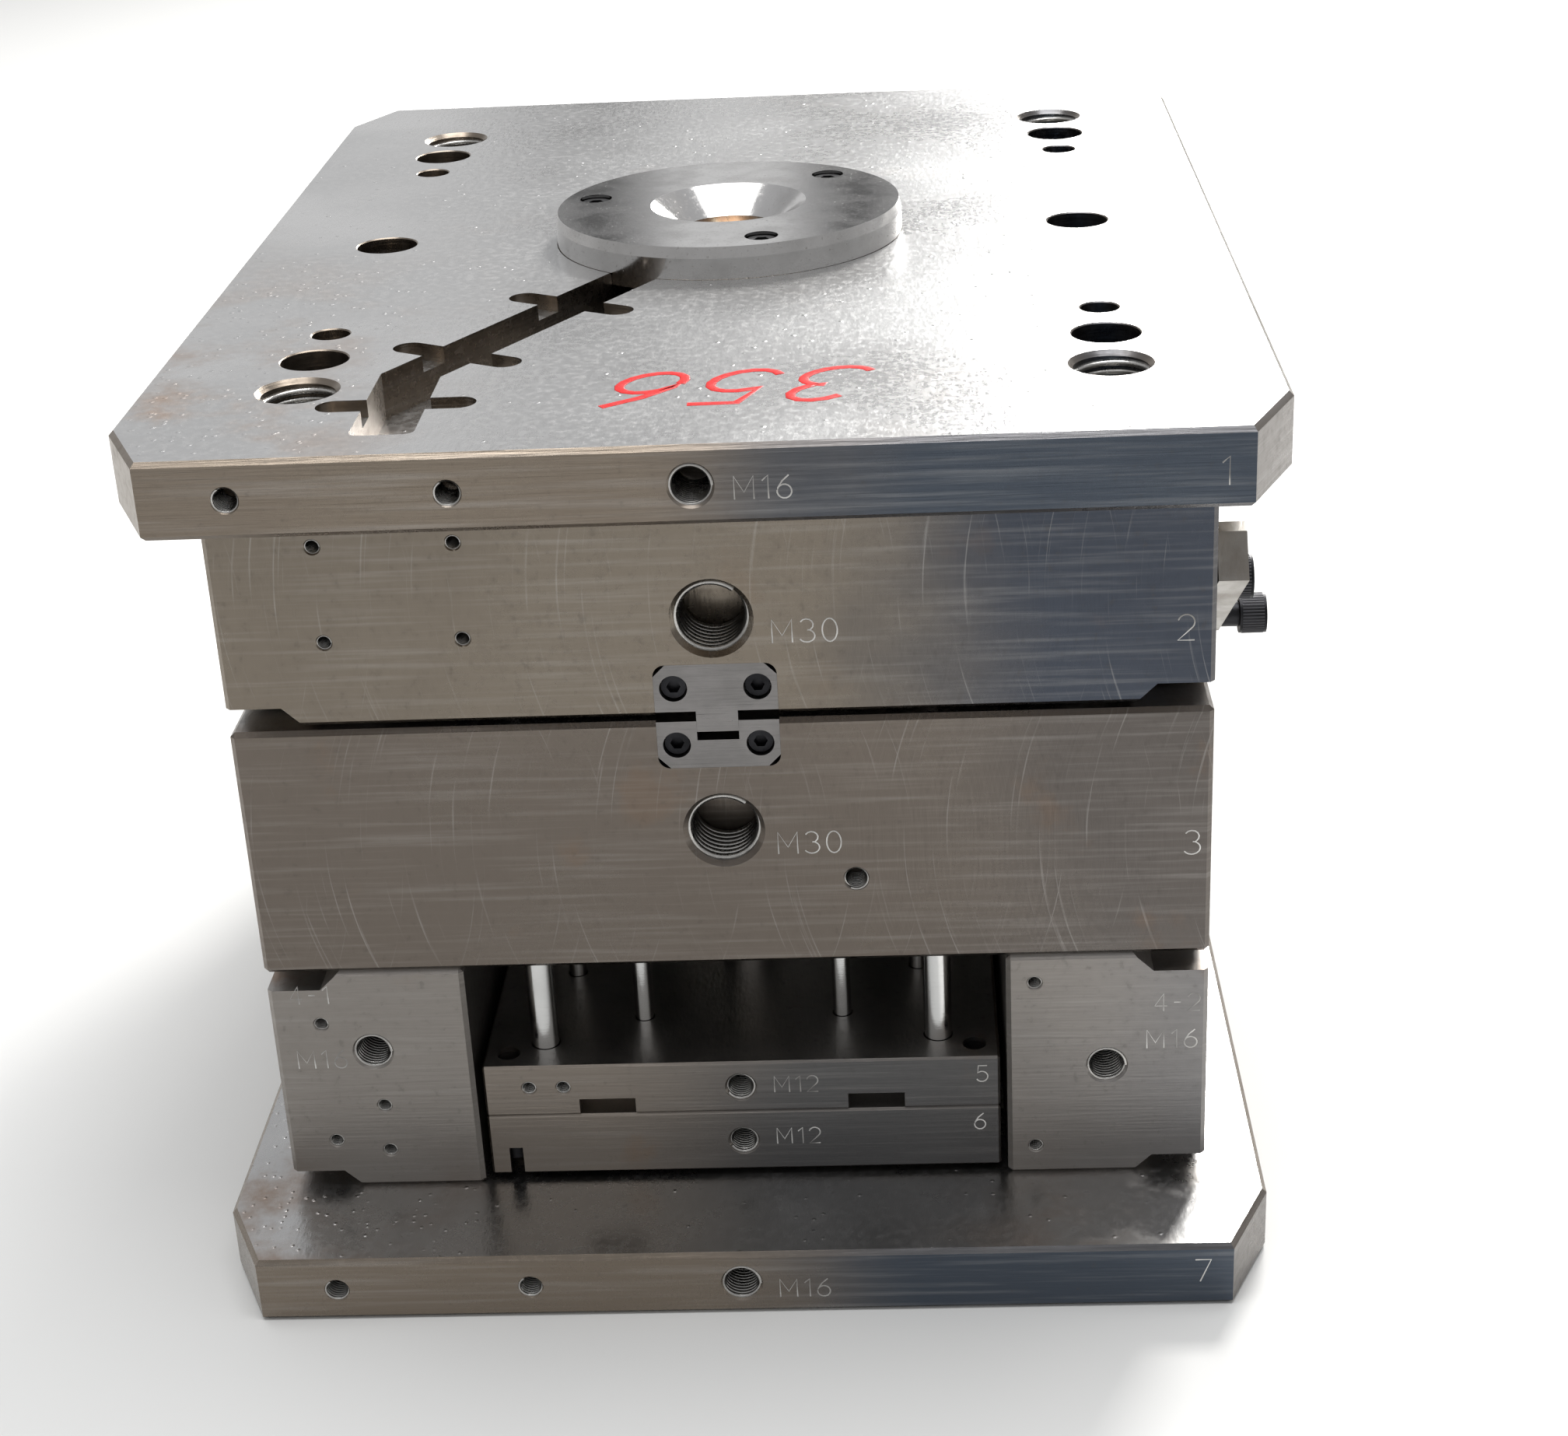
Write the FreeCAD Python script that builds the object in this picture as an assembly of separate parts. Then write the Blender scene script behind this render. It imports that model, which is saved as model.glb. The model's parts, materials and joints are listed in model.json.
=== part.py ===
import FreeCAD, Part
import math
import os

# Two-plate injection mould base, closed, standing on its bottom clamp plate.
# Millimetres. +Z is the opening direction, X runs across the mould and Y along it.
# The origin is the centre of the bottom clamping face.

V = FreeCAD.Vector

# ---- plate stack -------------------------------------------------------------------------
plate_width = 400.0            # cavity plate, core plate and the pair of spacer blocks
plate_length = 490.0
clamp_ledge_x = 25.0           # both clamp plates stand out past the stack
clamp_ledge_y = 55.0
corner_cut_across = 18.5       # corner cut of the clamp plates, measured along X
corner_cut_along = 40.0        # the same cut measured along Y
edge_bevel = 2.0
bottom_clamp_thickness = 30.0
spacer_height = 109.0
spacer_width = 85.0
core_plate_thickness = 113.0
parting_gap = 2.4              # the inserts meet, the plates never touch
cavity_plate_thickness = 103.0
top_clamp_thickness = 31.0

# ---- cap screws: thread, head diameter, socket across flats; the head is as high as the thread is wide
M6 = (6.0, 10.0, 5.0)
M8 = (8.0, 13.0, 6.0)
M10 = (10.0, 16.0, 8.0)
M12 = (12.0, 18.0, 10.0)
M16 = (16.0, 24.0, 14.0)
socket_floor_share = 0.45      # height of the socket floor, as a share of the head's height

# ---- ejector plates ----------------------------------------------------------------------
ejector_side_gap = 3.0         # to each spacer block
ejector_end_inset = 3.0        # from the plate ends
ejector_rest_height = 3.0      # stop buttons under the plates
ejector_base_thickness = 30.0
ejector_retainer_thickness = 25.0
ejector_edge_bevel = 1.0

# ---- fits --------------------------------------------------------------------------------
running_play = 0.08            # radial, pins and bushes that slide
screw_play = 0.5               # radial, shank in a clearance hole
thread_play = 0.1              # radial, threads are plain cylinders
head_play = 1.0                # radial, cap head in its counterbore
top_head_play = 2.0            # the same in the top clamp plate
seat_play = 0.1                # radial, pressed bushes, dowels and ring registers
insert_play = 0.05             # each side, insert in its pocket
shutoff_play = 0.1             # axial, return pins to the cavity plate
tap_run = 1.0                  # tapped hole beyond the end of its screw
hole_bevel = 0.5               # countersink of the holes that open on an outer face
handling_bevel = 1.0           # the same on the handling holes
lift_bevel = 2.0               # and on the lifting holes

# ---- inserts -----------------------------------------------------------------------------
insert_wall_x = 85.0           # plate left beside the pocket
insert_wall_y = 33.0
insert_corner_radius = 12.0
core_pocket_depth = 60.0
cavity_pocket_depth = 55.0
insert_screw_inset_x = 20.0    # from the sides of the insert
insert_screw_inset_y = 22.0
insert_screw = M10
core_insert_screw_sink = 13.0  # head below the face of its plate
cavity_insert_screw_sink = 8.0
insert_screw_bite = 18.0

# ---- leader pins and bushes --------------------------------------------------------------
leader_inset_x = 52.0          # from the sides of the plates
leader_inset_y = 34.0
leader_diameter = 30.0
leader_head_rim = 2.5
leader_head_height = 6.0
leader_tip_clearance = 9.0     # pin end below the top of the cavity plate
leader_tip_length = 6.0        # tapered end
leader_tip_taper = 3.0         # radial
bush_wall = 6.0
bush_head_rim = 2.5
bush_head_height = 8.0

# ---- ejector pins ------------------------------------------------------------------------
pin_head_rim = 2.5
return_pin_inset = (26.0, 20.0)   # every inset is from the sides and ends of the ejector plates
return_pin_diameter = 12.0
return_head_height = 7.0
end_pin_inset = (68.0, 40.0)
side_pin_inset = (34.0, 80.0)
middle_pin_inset = (46.0, 170.0)
ejector_pin_diameter = 8.0
ejector_head_height = 6.0
ejector_plate_screw_inset = (10.5, 11.3)
ejector_plate_screw = M10
ejector_plate_screw_sink = 6.0
ejector_plate_screw_short = 2.0   # screw end below the top of the retainer plate
base_notch_inset = 11.4        # ground into the front edge of the base plate
base_notch_width = 6.0
base_notch_height = 13.5
base_notch_reach = 5.0

# ---- ejector guides, support pillars and stop buttons ------------------------------------
guide_inset = (20.0, 126.0)    # from the sides and ends of the ejector plates
guide_diameter = 20.0
guide_head_height = 6.0
guide_socket_depth = 14.0
guide_bush_wall = 4.0
guide_bush_flange_rim = 3.0
guide_bush_flange_height = 6.0
pillar_diameter = 25.0
pillar_end_inset = 102.0       # from the ends of the ejector plates
pillar_x = 52.0
pillar_room = 2.0              # radial, pillar through the ejector plates
pillar_screw = M10
pillar_screw_sink = 5.0
pillar_screw_bite = 22.0
button_diameter = 20.0
button_stem_diameter = 8.0
button_stem_depth = 12.0
button_inset = (16.0, 52.0)    # from the sides and ends of the ejector plates
knockout_diameter = 40.0
knockout_thread = 16.0

# ---- clamp screws and dowels -------------------------------------------------------------
clamp_screw = M16
top_screw_inset = 39.0         # from the sides of the cavity plate
clamp_screw_end_inset = 67.0   # from the ends of the stack
top_screw_grip = 7.0           # plate left under the head
bottom_screw_sink = 1.5
clamp_screw_bite = 28.0
dowel_diameter = 16.0
dowel_end_inset = 103.0        # from the ends of the stack
dowel_bite = 26.0
top_dowel_drop = 12.0          # dowel end below the top face

# ---- locating ring and hot sprue ---------------------------------------------------------
ring_diameter = 160.0
ring_height = 14.5             # above the top clamp plate
ring_taper_height = 5.0        # lead-in round the top
ring_taper = 1.0               # radial
ring_recess = 5.5              # the register sinks this far into the plate
ring_register_step = 1.0       # radial, register smaller than the ring
ring_recess_bevel = 1.3
ring_lip = 5.0                 # radial, over the flange of the sprue
ring_cone_depth = 12.0
ring_cone_width = 14.0
ring_screw_inset = 15.0        # from the rim
ring_screw_angles = (46.0, 166.0, 286.0)
ring_screw = M8
ring_screw_sink = 1.5
ring_screw_bite = 12.0
sprue_chamber_room = 5.0       # radial, around the flange
sprue_flange_diameter = 54.0
sprue_seat_depth = 5.0         # flange sunk in the cavity plate
sprue_body_diameter = 34.0
sprue_land = 12.0              # insert left under the sprue body
sprue_seat_radius = 20.0
sprue_seat_rise = 12.0         # centre of the ball seat above the flange
sprue_orifice_diameter = 5.0
gate_diameter = 3.0

# ---- wiring channel in the top clamp plate -----------------------------------------------
channel_width = 25.0
channel_depth = 19.0
channel_slant = 30.0           # of the leg that leaves the ring, from the front direction
channel_leg_offset = 117.3     # leg that runs to the front, left of the centre
channel_front_inset = 24.0     # from the front of the clamp plate
channel_drop = 26.0            # length of the opening down past the cavity plate
channel_drop_margin = 1.0
channel_end_radius = 4.0
clip_length = 63.0
clip_width = 14.0
clip_depth = 7.0
clip_distances = (126.0, 205.0)  # from the centre, along the slanted leg
front_clip_inset = 60.0        # from the front of the clamp plate

# ---- straight interlocks, one at each end ------------------------------------------------
lock_width = 50.0
lock_depth = 20.0
lock_upper_height = 20.6
lock_lower_height = 20.8
lock_corner_cut = 5.0          # the pocket's milled radius is the same
lock_tongue_width = 17.0
lock_tongue_length = 9.1
lock_notch_depth = 8.5
lock_tongue_play = 0.05
lock_screw_x = 17.0
lock_screw = M6
lock_screw_sink = 2.0
lock_screw_bite = 10.0
lock_head_play = 0.7

# ---- pry slots ---------------------------------------------------------------------------
pry_height = 8.5
pry_flat = 23.0
pry_ramp = 9.0
pry_reach = 24.0
ejector_pry_x = 58.5
ejector_pry_width = 24.5
ejector_pry_height = 8.0
ejector_pry_reach = 14.0

# ---- threaded holes ----------------------------------------------------------------------
lift_thread = 30.0
lift_thread_depth = 28.0
lift_inset_x = 65.0            # from the sides and ends of the top clamp plate
lift_inset_y = 82.0
cavity_lift_height = 42.4      # above the underside of the cavity plate
core_lift_height = 63.2        # above the underside of the core plate
handling_thread = 16.0
handling_depth = 30.0
spacer_left_hole_height = 69.3
spacer_right_hole_height = 54.5
ejector_thread = 12.0
ejector_thread_depth = 24.0
connector_thread = 10.0
connector_depth = 20.0
small_thread = 6.0             # holes for switches and clips
small_depth = 12.0
left_block_pair_inset = (44.5, 21.5)    # two upright pairs, from the left side of the stack
left_block_pair_heights = ((18.8, 41.8), (24.2, 83.5))   # above the underside of the block
right_block_pair_inset = 73.0
right_block_pair_heights = (14.3, 95.8)
retainer_pair_inset = (19.7, 34.7)      # from the left side of the retainer plate
retainer_pair_height = 14.0    # above its underside
connector_inset = 52.0         # first hole from the left side of the clamp plate
connector_pitch = 83.0
box_thread = 6.0               # four holes that carried a terminal box
box_depth = 12.0
box_inset = 72.0               # centre from the left side of the cavity plate
box_pitch_x = 56.0
box_pitch_z = 41.2
box_height = 57.4              # centre above the underside of the cavity plate
switch_hole_diameter = 10.0
switch_hole_x = 53.7
switch_hole_height = 39.0      # above the underside of the core plate
switch_hole_depth = 18.0

# ---- safety strap on the right side ------------------------------------------------------
strap_cheek = 2.5              # either side of the recess for the pivot head
strap_thickness = 12.0
strap_gap = 1.0                # washer between strap and plate
strap_washer_rim = 5.5         # radial, around the screw
strap_pivot_inset = 59.0       # from the front of the cavity plate
strap_pivot_height = 29.6      # above the underside of the cavity plate
strap_front_reach = 56.0       # pivot to the front end
strap_rear_reach = 64.0        # pivot to the rear end
strap_tilt = 33.0              # front end up, degrees from level
strap_end_cut = 5.0
strap_hole_inset = 14.0
strap_screw = M12
strap_screw_bite = 18.0
strap_screw_recess = 4.0       # how far the pivot head sinks into the strap
parked_screw_inset = 145.0     # from the front of the core plate
parked_screw_drop = 21.0       # below the top of the core plate
parked_screw_stand_off = 27.0  # head from the side of the core plate

# ---- levels and places that follow -------------------------------------------------------
spacer_z = bottom_clamp_thickness
core_z = spacer_z + spacer_height
core_top_z = core_z + core_plate_thickness
parting_z = core_top_z + parting_gap / 2
cavity_z = core_top_z + parting_gap
top_clamp_z = cavity_z + cavity_plate_thickness
top_z = top_clamp_z + top_clamp_thickness
ejector_base_z = spacer_z + ejector_rest_height
retainer_z = ejector_base_z + ejector_base_thickness
retainer_top_z = retainer_z + ejector_retainer_thickness
half_width = plate_width / 2
half_length = plate_length / 2
clamp_half_width = half_width + clamp_ledge_x
clamp_half_length = half_length + clamp_ledge_y
ejector_half_width = half_width - spacer_width - ejector_side_gap
ejector_half_length = half_length - ejector_end_inset
insert_half_width = half_width - insert_wall_x
insert_half_length = half_length - insert_wall_y
top_screw_x = half_width - top_screw_inset
bottom_screw_x = half_width - spacer_width / 2
clamp_screw_y = half_length - clamp_screw_end_inset
dowel_y = half_length - dowel_end_inset
lift_x = clamp_half_width - lift_inset_x
lift_y = clamp_half_length - lift_inset_y
connector_xs = (connector_inset - clamp_half_width, connector_inset + connector_pitch - clamp_half_width)
box_centre_x = box_inset - half_width
channel_leg_x = -channel_leg_offset
channel_front_y = channel_front_inset - clamp_half_length
front_clip_y = front_clip_inset - clamp_half_length
ring_screw_circle = ring_diameter - 2 * ring_screw_inset
ring_register_diameter = ring_diameter - 2 * ring_register_step
ring_throat_diameter = sprue_flange_diameter - 2 * ring_lip
ring_screw_grip = ring_height - ring_screw[0] - ring_screw_sink
bush_diameter = leader_diameter + 2 * bush_wall
guide_bush_diameter = guide_diameter + 2 * guide_bush_wall
lock_screw_grip = lock_depth - lock_screw[0] - lock_screw_sink
ejector_plate_screw_grip = ejector_base_thickness - ejector_plate_screw[0] - ejector_plate_screw_sink
pillar_screw_grip = bottom_clamp_thickness - pillar_screw[0] - pillar_screw_sink
bottom_screw_grip = bottom_clamp_thickness - clamp_screw[0] - bottom_screw_sink
core_floor_z = core_top_z - core_pocket_depth
cavity_roof_z = cavity_z + cavity_pocket_depth
core_insert_head_z = core_z + core_insert_screw_sink + insert_screw[0]
cavity_insert_head_z = top_clamp_z - cavity_insert_screw_sink - insert_screw[0]
strap_pivot_y = strap_pivot_inset - half_length
strap_pivot_z = cavity_z + strap_pivot_height
strap_width = strap_screw[1] + 2 * head_play + 2 * strap_cheek
parked_screw_y = parked_screw_inset - half_length
parked_screw_z = core_top_z - parked_screw_drop


# ---- shapes used everywhere --------------------------------------------------------------
def box(x0, x1, y0, y1, z0, z1):
    return Part.makeBox(x1 - x0, y1 - y0, z1 - z0, V(x0, y0, z0))


def rod(spot, z0, z1, diameter):
    return Part.makeCylinder(diameter / 2, z1 - z0, V(spot[0], spot[1], z0))


def rods(spots, z0, z1, diameter):
    return [rod(spot, z0, z1, diameter) for spot in spots]


def corners(x, y):
    return [(-x, -y), (x, -y), (-x, y), (x, y)]


def prism(outline, z0, z1):
    points = [V(x, y, z0) for x, y in outline]
    face = Part.Face(Part.makePolygon(points + points[:1]))
    return face.extrude(V(0, 0, z1 - z0))


def insert_block(z0, z1, play):
    """Block with rounded upright edges: an insert, or the pocket that it seats in."""
    x, y = insert_half_width + play, insert_half_length + play
    block = box(-x, x, -y, y, z0, z1)
    upright = [e for e in block.Edges if abs(e.tangentAt(e.FirstParameter).z) > 0.9]
    return block.makeFillet(insert_corner_radius + play, upright)


def revolved(profile):
    """Solid of revolution about Z from (radius, height) points."""
    points = [V(r, 0, z) for r, z in profile]
    face = Part.Face(Part.makePolygon(points + points[:1]))
    return face.revolve(V(0, 0, 0), V(0, 0, 1), 360)


def turned(shape, spot, axis):
    """A copy of a shape drawn about +Z, turned to the axis and set down at the spot."""
    copy = shape.copy()
    rotation = FreeCAD.Rotation(V(0, 0, 1), V(*axis))
    copy.Placement = FreeCAD.Placement(V(*spot), rotation)
    return copy


def level_hole(spot, axis, diameter, depth):
    """A blind hole drilled from the spot along the axis."""
    return turned(Part.makeCylinder(diameter / 2, depth), spot, axis)


def sunk_hole(spot, axis, diameter, depth, bevel=hole_bevel):
    """A blind hole with a countersunk mouth."""
    mouth = Part.makeCone(diameter / 2 + bevel, diameter / 2, bevel)
    return turned(Part.makeCylinder(diameter / 2, depth).fuse(mouth), spot, axis)


def top_mouths(spots, diameter, bevel=hole_bevel):
    """Countersinks in the top face of the mould."""
    radius, down = diameter / 2, V(0, 0, -1)
    return [Part.makeCone(radius + bevel, radius, bevel, V(x, y, top_z), down) for x, y in spots]


def hexagon(across_flats, z0, z1):
    radius = across_flats / math.sqrt(3)
    angles = [math.radians(60 * i) for i in range(6)]
    return prism([(radius * math.cos(a), radius * math.sin(a)) for a in angles], z0, z1)


def cap_screw(screw, length):
    """Socket head cap screw along +Z: underside of the head at 0, shank going down."""
    size, head_diameter, across_flats = screw
    socket = hexagon(across_flats, size * socket_floor_share, size)
    shank = Part.makeCylinder(size / 2, length, V(0, 0, -length))
    return Part.makeCylinder(head_diameter / 2, size).cut(socket).fuse(shank).removeSplitter()


def wide(diameter, play):
    """Hole for a pin with its radial play."""
    return diameter + 2 * play


def head_bore(screw, play=head_play):
    return wide(screw[1], play)


def shank_bore(screw):
    return wide(screw[0], screw_play)


def thread_bore(screw):
    return wide(screw[0], thread_play)


def save(name, *shapes):
    shape = shapes[0] if len(shapes) == 1 else Part.Compound(list(shapes))
    shape.exportStep("parts/" + name + ".step")


def mould_plate(x0, x1, z0, thickness):
    """Plate of the inner stack: every edge is bevelled."""
    plate = box(x0, x1, -half_length, half_length, z0, z0 + thickness)
    return plate.makeChamfer(edge_bevel, plate.Edges)


def clamp_plate(z0, thickness):
    """Clamp plate: cut corners, bevels round the top and bottom faces."""
    x, y = clamp_half_width, clamp_half_length
    cx, cy = x - corner_cut_across, y - corner_cut_along
    outline = [(-cx, -y), (cx, -y), (x, -cy), (x, cy), (cx, y), (-cx, y), (-x, cy), (-x, -cy)]
    plate = prism(outline, z0, z0 + thickness)
    level = [e for e in plate.Edges if abs(e.tangentAt(e.FirstParameter).z) < 0.1]
    return plate.makeChamfer(edge_bevel, level)


def pry_slot(x_side, y_side, z_face, z_sign):
    """Ramped lever slot in an outer corner: flat roof at the corner, ramp towards the middle."""
    x = x_side * half_width
    inner = x - x_side * pry_flat
    end = inner - x_side * pry_ramp
    z = z_face + z_sign * pry_height
    y = y_side * half_length
    points = [V(x, y, z_face), V(x, y, z), V(inner, y, z), V(end, y, z_face)]
    face = Part.Face(Part.makePolygon(points + points[:1]))
    return face.extrude(V(0, -y_side * pry_reach, 0))


# ---- spots shared by several pieces ------------------------------------------------------
def in_ejector_plate(inset):
    return corners(ejector_half_width - inset[0], ejector_half_length - inset[1])


leader_spots = corners(half_width - leader_inset_x, half_length - leader_inset_y)
return_spots = in_ejector_plate(return_pin_inset)
ejector_pin_spots = [spot for inset in (end_pin_inset, side_pin_inset, middle_pin_inset)
                     for spot in in_ejector_plate(inset)]
ejector_screw_spots = in_ejector_plate(ejector_plate_screw_inset)
guide_spots = in_ejector_plate(guide_inset)
pillar_y = ejector_half_length - pillar_end_inset
pillar_spots = [(0, -pillar_y), (0, pillar_y), (-pillar_x, 0), (pillar_x, 0)]
button_x = ejector_half_width - button_inset[0]
button_spots = in_ejector_plate(button_inset) + [(-button_x, 0), (button_x, 0)]
top_screw_spots = corners(top_screw_x, clamp_screw_y) + [(-top_screw_x, 0), (top_screw_x, 0)]
bottom_screw_spots = corners(bottom_screw_x, clamp_screw_y) + [(-bottom_screw_x, 0), (bottom_screw_x, 0)]
top_dowel_spots = corners(top_screw_x, dowel_y)
bottom_dowel_spots = corners(bottom_screw_x, dowel_y)
insert_screw_spots = corners(insert_half_width - insert_screw_inset_x,
                             insert_half_length - insert_screw_inset_y)
ring_screw_spots = [(ring_screw_circle / 2 * math.cos(math.radians(a)),
                     ring_screw_circle / 2 * math.sin(math.radians(a))) for a in ring_screw_angles]
clamp_shank = shank_bore(clamp_screw)
clamp_thread = thread_bore(clamp_screw)
dowel_bore = wide(dowel_diameter, seat_play)
insert_shank = shank_bore(insert_screw)
insert_thread = thread_bore(insert_screw)
front = (0, 1, 0)              # drilled inwards from a front face
back = (0, -1, 0)


def clamp_front_holes(z):
    """The handling hole and the two bracket holes in the front face of a clamp plate."""
    holes = [sunk_hole((x, -clamp_half_length, z), front, connector_thread, connector_depth)
             for x in connector_xs]
    spot = (0, -clamp_half_length, z)
    holes.append(sunk_hole(spot, front, handling_thread, handling_depth, handling_bevel))
    return holes


# ---- bottom clamp plate ------------------------------------------------------------------
def bottom_clamp_plate():
    plate = clamp_plate(0, bottom_clamp_thickness)
    cuts = rods(bottom_screw_spots, -1, spacer_z + 1, clamp_shank)
    cuts += rods(bottom_screw_spots, -1, spacer_z - bottom_screw_grip, head_bore(clamp_screw))
    cuts += rods(bottom_dowel_spots, -1, spacer_z + 1, dowel_bore)
    cuts += rods(pillar_spots, -1, spacer_z + 1, shank_bore(pillar_screw))
    cuts += rods(pillar_spots, -1, spacer_z - pillar_screw_grip, head_bore(pillar_screw))
    cuts += rods(guide_spots, -1, spacer_z + 1, wide(guide_diameter, seat_play))
    cuts += rods(guide_spots, -1, guide_head_height, wide(guide_diameter, pin_head_rim + seat_play))
    stem_bore = wide(button_stem_diameter, seat_play)
    cuts += rods(button_spots, spacer_z - button_stem_depth, spacer_z + 1, stem_bore)
    cuts.append(rod((0, 0), -1, spacer_z + 1, knockout_diameter))
    cuts += clamp_front_holes(bottom_clamp_thickness / 2)
    return plate.cut(cuts)


# ---- spacer blocks -----------------------------------------------------------------------
def spacer_block(side, hole_height, small_holes):
    outer, inner = side * half_width, side * (half_width - spacer_width)
    block = mould_plate(min(outer, inner), max(outer, inner), spacer_z, spacer_height)
    screws = [s for s in bottom_screw_spots if s[0] * side > 0]
    dowels = [s for s in bottom_dowel_spots if s[0] * side > 0]
    cuts = rods(screws, spacer_z - 1, core_z + 1, clamp_shank)
    cuts += rods(dowels, spacer_z - 1, spacer_z + dowel_bite, dowel_bore)
    for end in (-1, 1):
        cuts.append(pry_slot(side, end, spacer_z, 1))
        cuts.append(pry_slot(side, end, core_z, -1))
    spot = (side * bottom_screw_x, -half_length, spacer_z + hole_height)
    cuts.append(sunk_hole(spot, front, handling_thread, handling_depth, handling_bevel))
    for inset, height in small_holes:
        spot = (side * (half_width - inset), -half_length, spacer_z + height)
        cuts.append(sunk_hole(spot, front, small_thread, small_depth))
    return block.cut(cuts)


# ---- core plate and insert ---------------------------------------------------------------
def side_thread(y, z):
    """Threaded hole in the right side for a screw of the safety strap."""
    diameter = thread_bore(strap_screw)
    return sunk_hole((half_width, y, z), (-1, 0, 0), diameter, strap_screw_bite + tap_run)


def core_plate():
    plate = mould_plate(-half_width, half_width, core_z, core_plate_thickness)
    z0, z1 = core_z - 1, core_top_z + 1
    cuts = [insert_block(core_floor_z, z1, insert_play)]
    cuts += rods(leader_spots, z0, z1, wide(leader_diameter, seat_play))
    head_bore_diameter = wide(leader_diameter, leader_head_rim + seat_play)
    cuts += rods(leader_spots, z0, core_z + leader_head_height, head_bore_diameter)
    cuts += rods(bottom_screw_spots, z0, core_z + clamp_screw_bite + tap_run, clamp_thread)
    cuts += rods(insert_screw_spots, z0, core_floor_z + 1, insert_shank)
    cuts += rods(insert_screw_spots, z0, core_insert_head_z, head_bore(insert_screw))
    cuts += rods(return_spots, z0, z1, wide(return_pin_diameter, running_play))
    cuts += rods(ejector_pin_spots, z0, core_floor_z + 1, wide(ejector_pin_diameter, screw_play))
    cuts += rods(guide_spots, z0, core_z + guide_socket_depth, wide(guide_diameter, seat_play))
    cuts += [lock_pocket(end, core_top_z, -1, lock_lower_height) for end in (-1, 1)]
    cuts += lock_screw_holes(core_top_z - lock_lower_height / 2)
    lift = (0, -half_length, core_z + core_lift_height)
    cuts.append(sunk_hole(lift, front, lift_thread, lift_thread_depth, lift_bevel))
    switch = (switch_hole_x, -half_length, core_z + switch_hole_height)
    cuts.append(sunk_hole(switch, front, switch_hole_diameter, switch_hole_depth))
    cuts.append(side_thread(parked_screw_y, parked_screw_z))
    cuts.append(side_thread(strap_pivot_y, strap_pivot_z - strap_rear_reach + strap_hole_inset))
    return plate.cut(cuts)


def core_insert():
    block = insert_block(core_floor_z, parting_z, 0)
    pin_bore = wide(ejector_pin_diameter, running_play)
    cuts = rods(ejector_pin_spots, core_floor_z - 1, parting_z + 1, pin_bore)
    thread_end = core_floor_z + insert_screw_bite + tap_run
    cuts += rods(insert_screw_spots, core_floor_z - 1, thread_end, insert_thread)
    return block.cut(cuts)


# ---- cavity plate and insert -------------------------------------------------------------
def cavity_plate():
    plate = mould_plate(-half_width, half_width, cavity_z, cavity_plate_thickness)
    z1 = top_clamp_z + 1
    cuts = [insert_block(cavity_z - 1, cavity_roof_z, insert_play)]
    cuts += rods(leader_spots, cavity_z - 1, z1, wide(bush_diameter, seat_play))
    head_bore_diameter = wide(bush_diameter, bush_head_rim + seat_play)
    cuts += rods(leader_spots, top_clamp_z - bush_head_height, z1, head_bore_diameter)
    cuts += rods(top_screw_spots, top_clamp_z - clamp_screw_bite - tap_run, z1, clamp_thread)
    cuts += rods(top_dowel_spots, top_clamp_z - dowel_bite, z1, dowel_bore)
    cuts += rods(insert_screw_spots, cavity_roof_z - 1, z1, insert_shank)
    cuts += rods(insert_screw_spots, cavity_insert_head_z, z1, head_bore(insert_screw))
    cuts.append(rod((0, 0), cavity_roof_z - 1, z1, wide(sprue_body_diameter, seat_play)))
    cuts.append(rod((0, 0), top_clamp_z - sprue_seat_depth, z1, wide(sprue_flange_diameter, seat_play)))
    cuts += [lock_pocket(end, cavity_z, 1, lock_upper_height + edge_bevel) for end in (-1, 1)]
    cuts += lock_screw_holes(cavity_z + edge_bevel + lock_upper_height / 2)
    cuts += [pry_slot(side, end, cavity_z, 1) for side in (-1, 1) for end in (-1, 1)]
    lift = (0, -half_length, cavity_z + cavity_lift_height)
    cuts.append(sunk_hole(lift, front, lift_thread, lift_thread_depth, lift_bevel))
    for dx in (-box_pitch_x / 2, box_pitch_x / 2):
        for dz in (-box_pitch_z / 2, box_pitch_z / 2):
            spot = (box_centre_x + dx, -half_length, cavity_z + box_height + dz)
            cuts.append(sunk_hole(spot, front, box_thread, box_depth))
    cuts.append(side_thread(strap_pivot_y, strap_pivot_z))
    return plate.cut(cuts)


def cavity_insert():
    block = insert_block(parting_z, cavity_roof_z, 0)
    thread_end = cavity_roof_z - insert_screw_bite - tap_run
    cuts = rods(insert_screw_spots, thread_end, cavity_roof_z + 1, insert_thread)
    cuts.append(rod((0, 0), parting_z + sprue_land, cavity_roof_z + 1, wide(sprue_body_diameter, seat_play)))
    cuts.append(rod((0, 0), parting_z - 1, cavity_roof_z, gate_diameter))
    return block.cut(cuts)


# ---- top clamp plate ---------------------------------------------------------------------
def slanted(shape, distance):
    """Moves a shape drawn along X from the centre out along the slanted leg."""
    copy = shape.copy()
    turn = FreeCAD.Rotation(V(0, 0, 1), 270 - channel_slant)
    copy.Placement = FreeCAD.Placement(turn.multVec(V(distance, 0, 0)), turn)
    return copy


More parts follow.
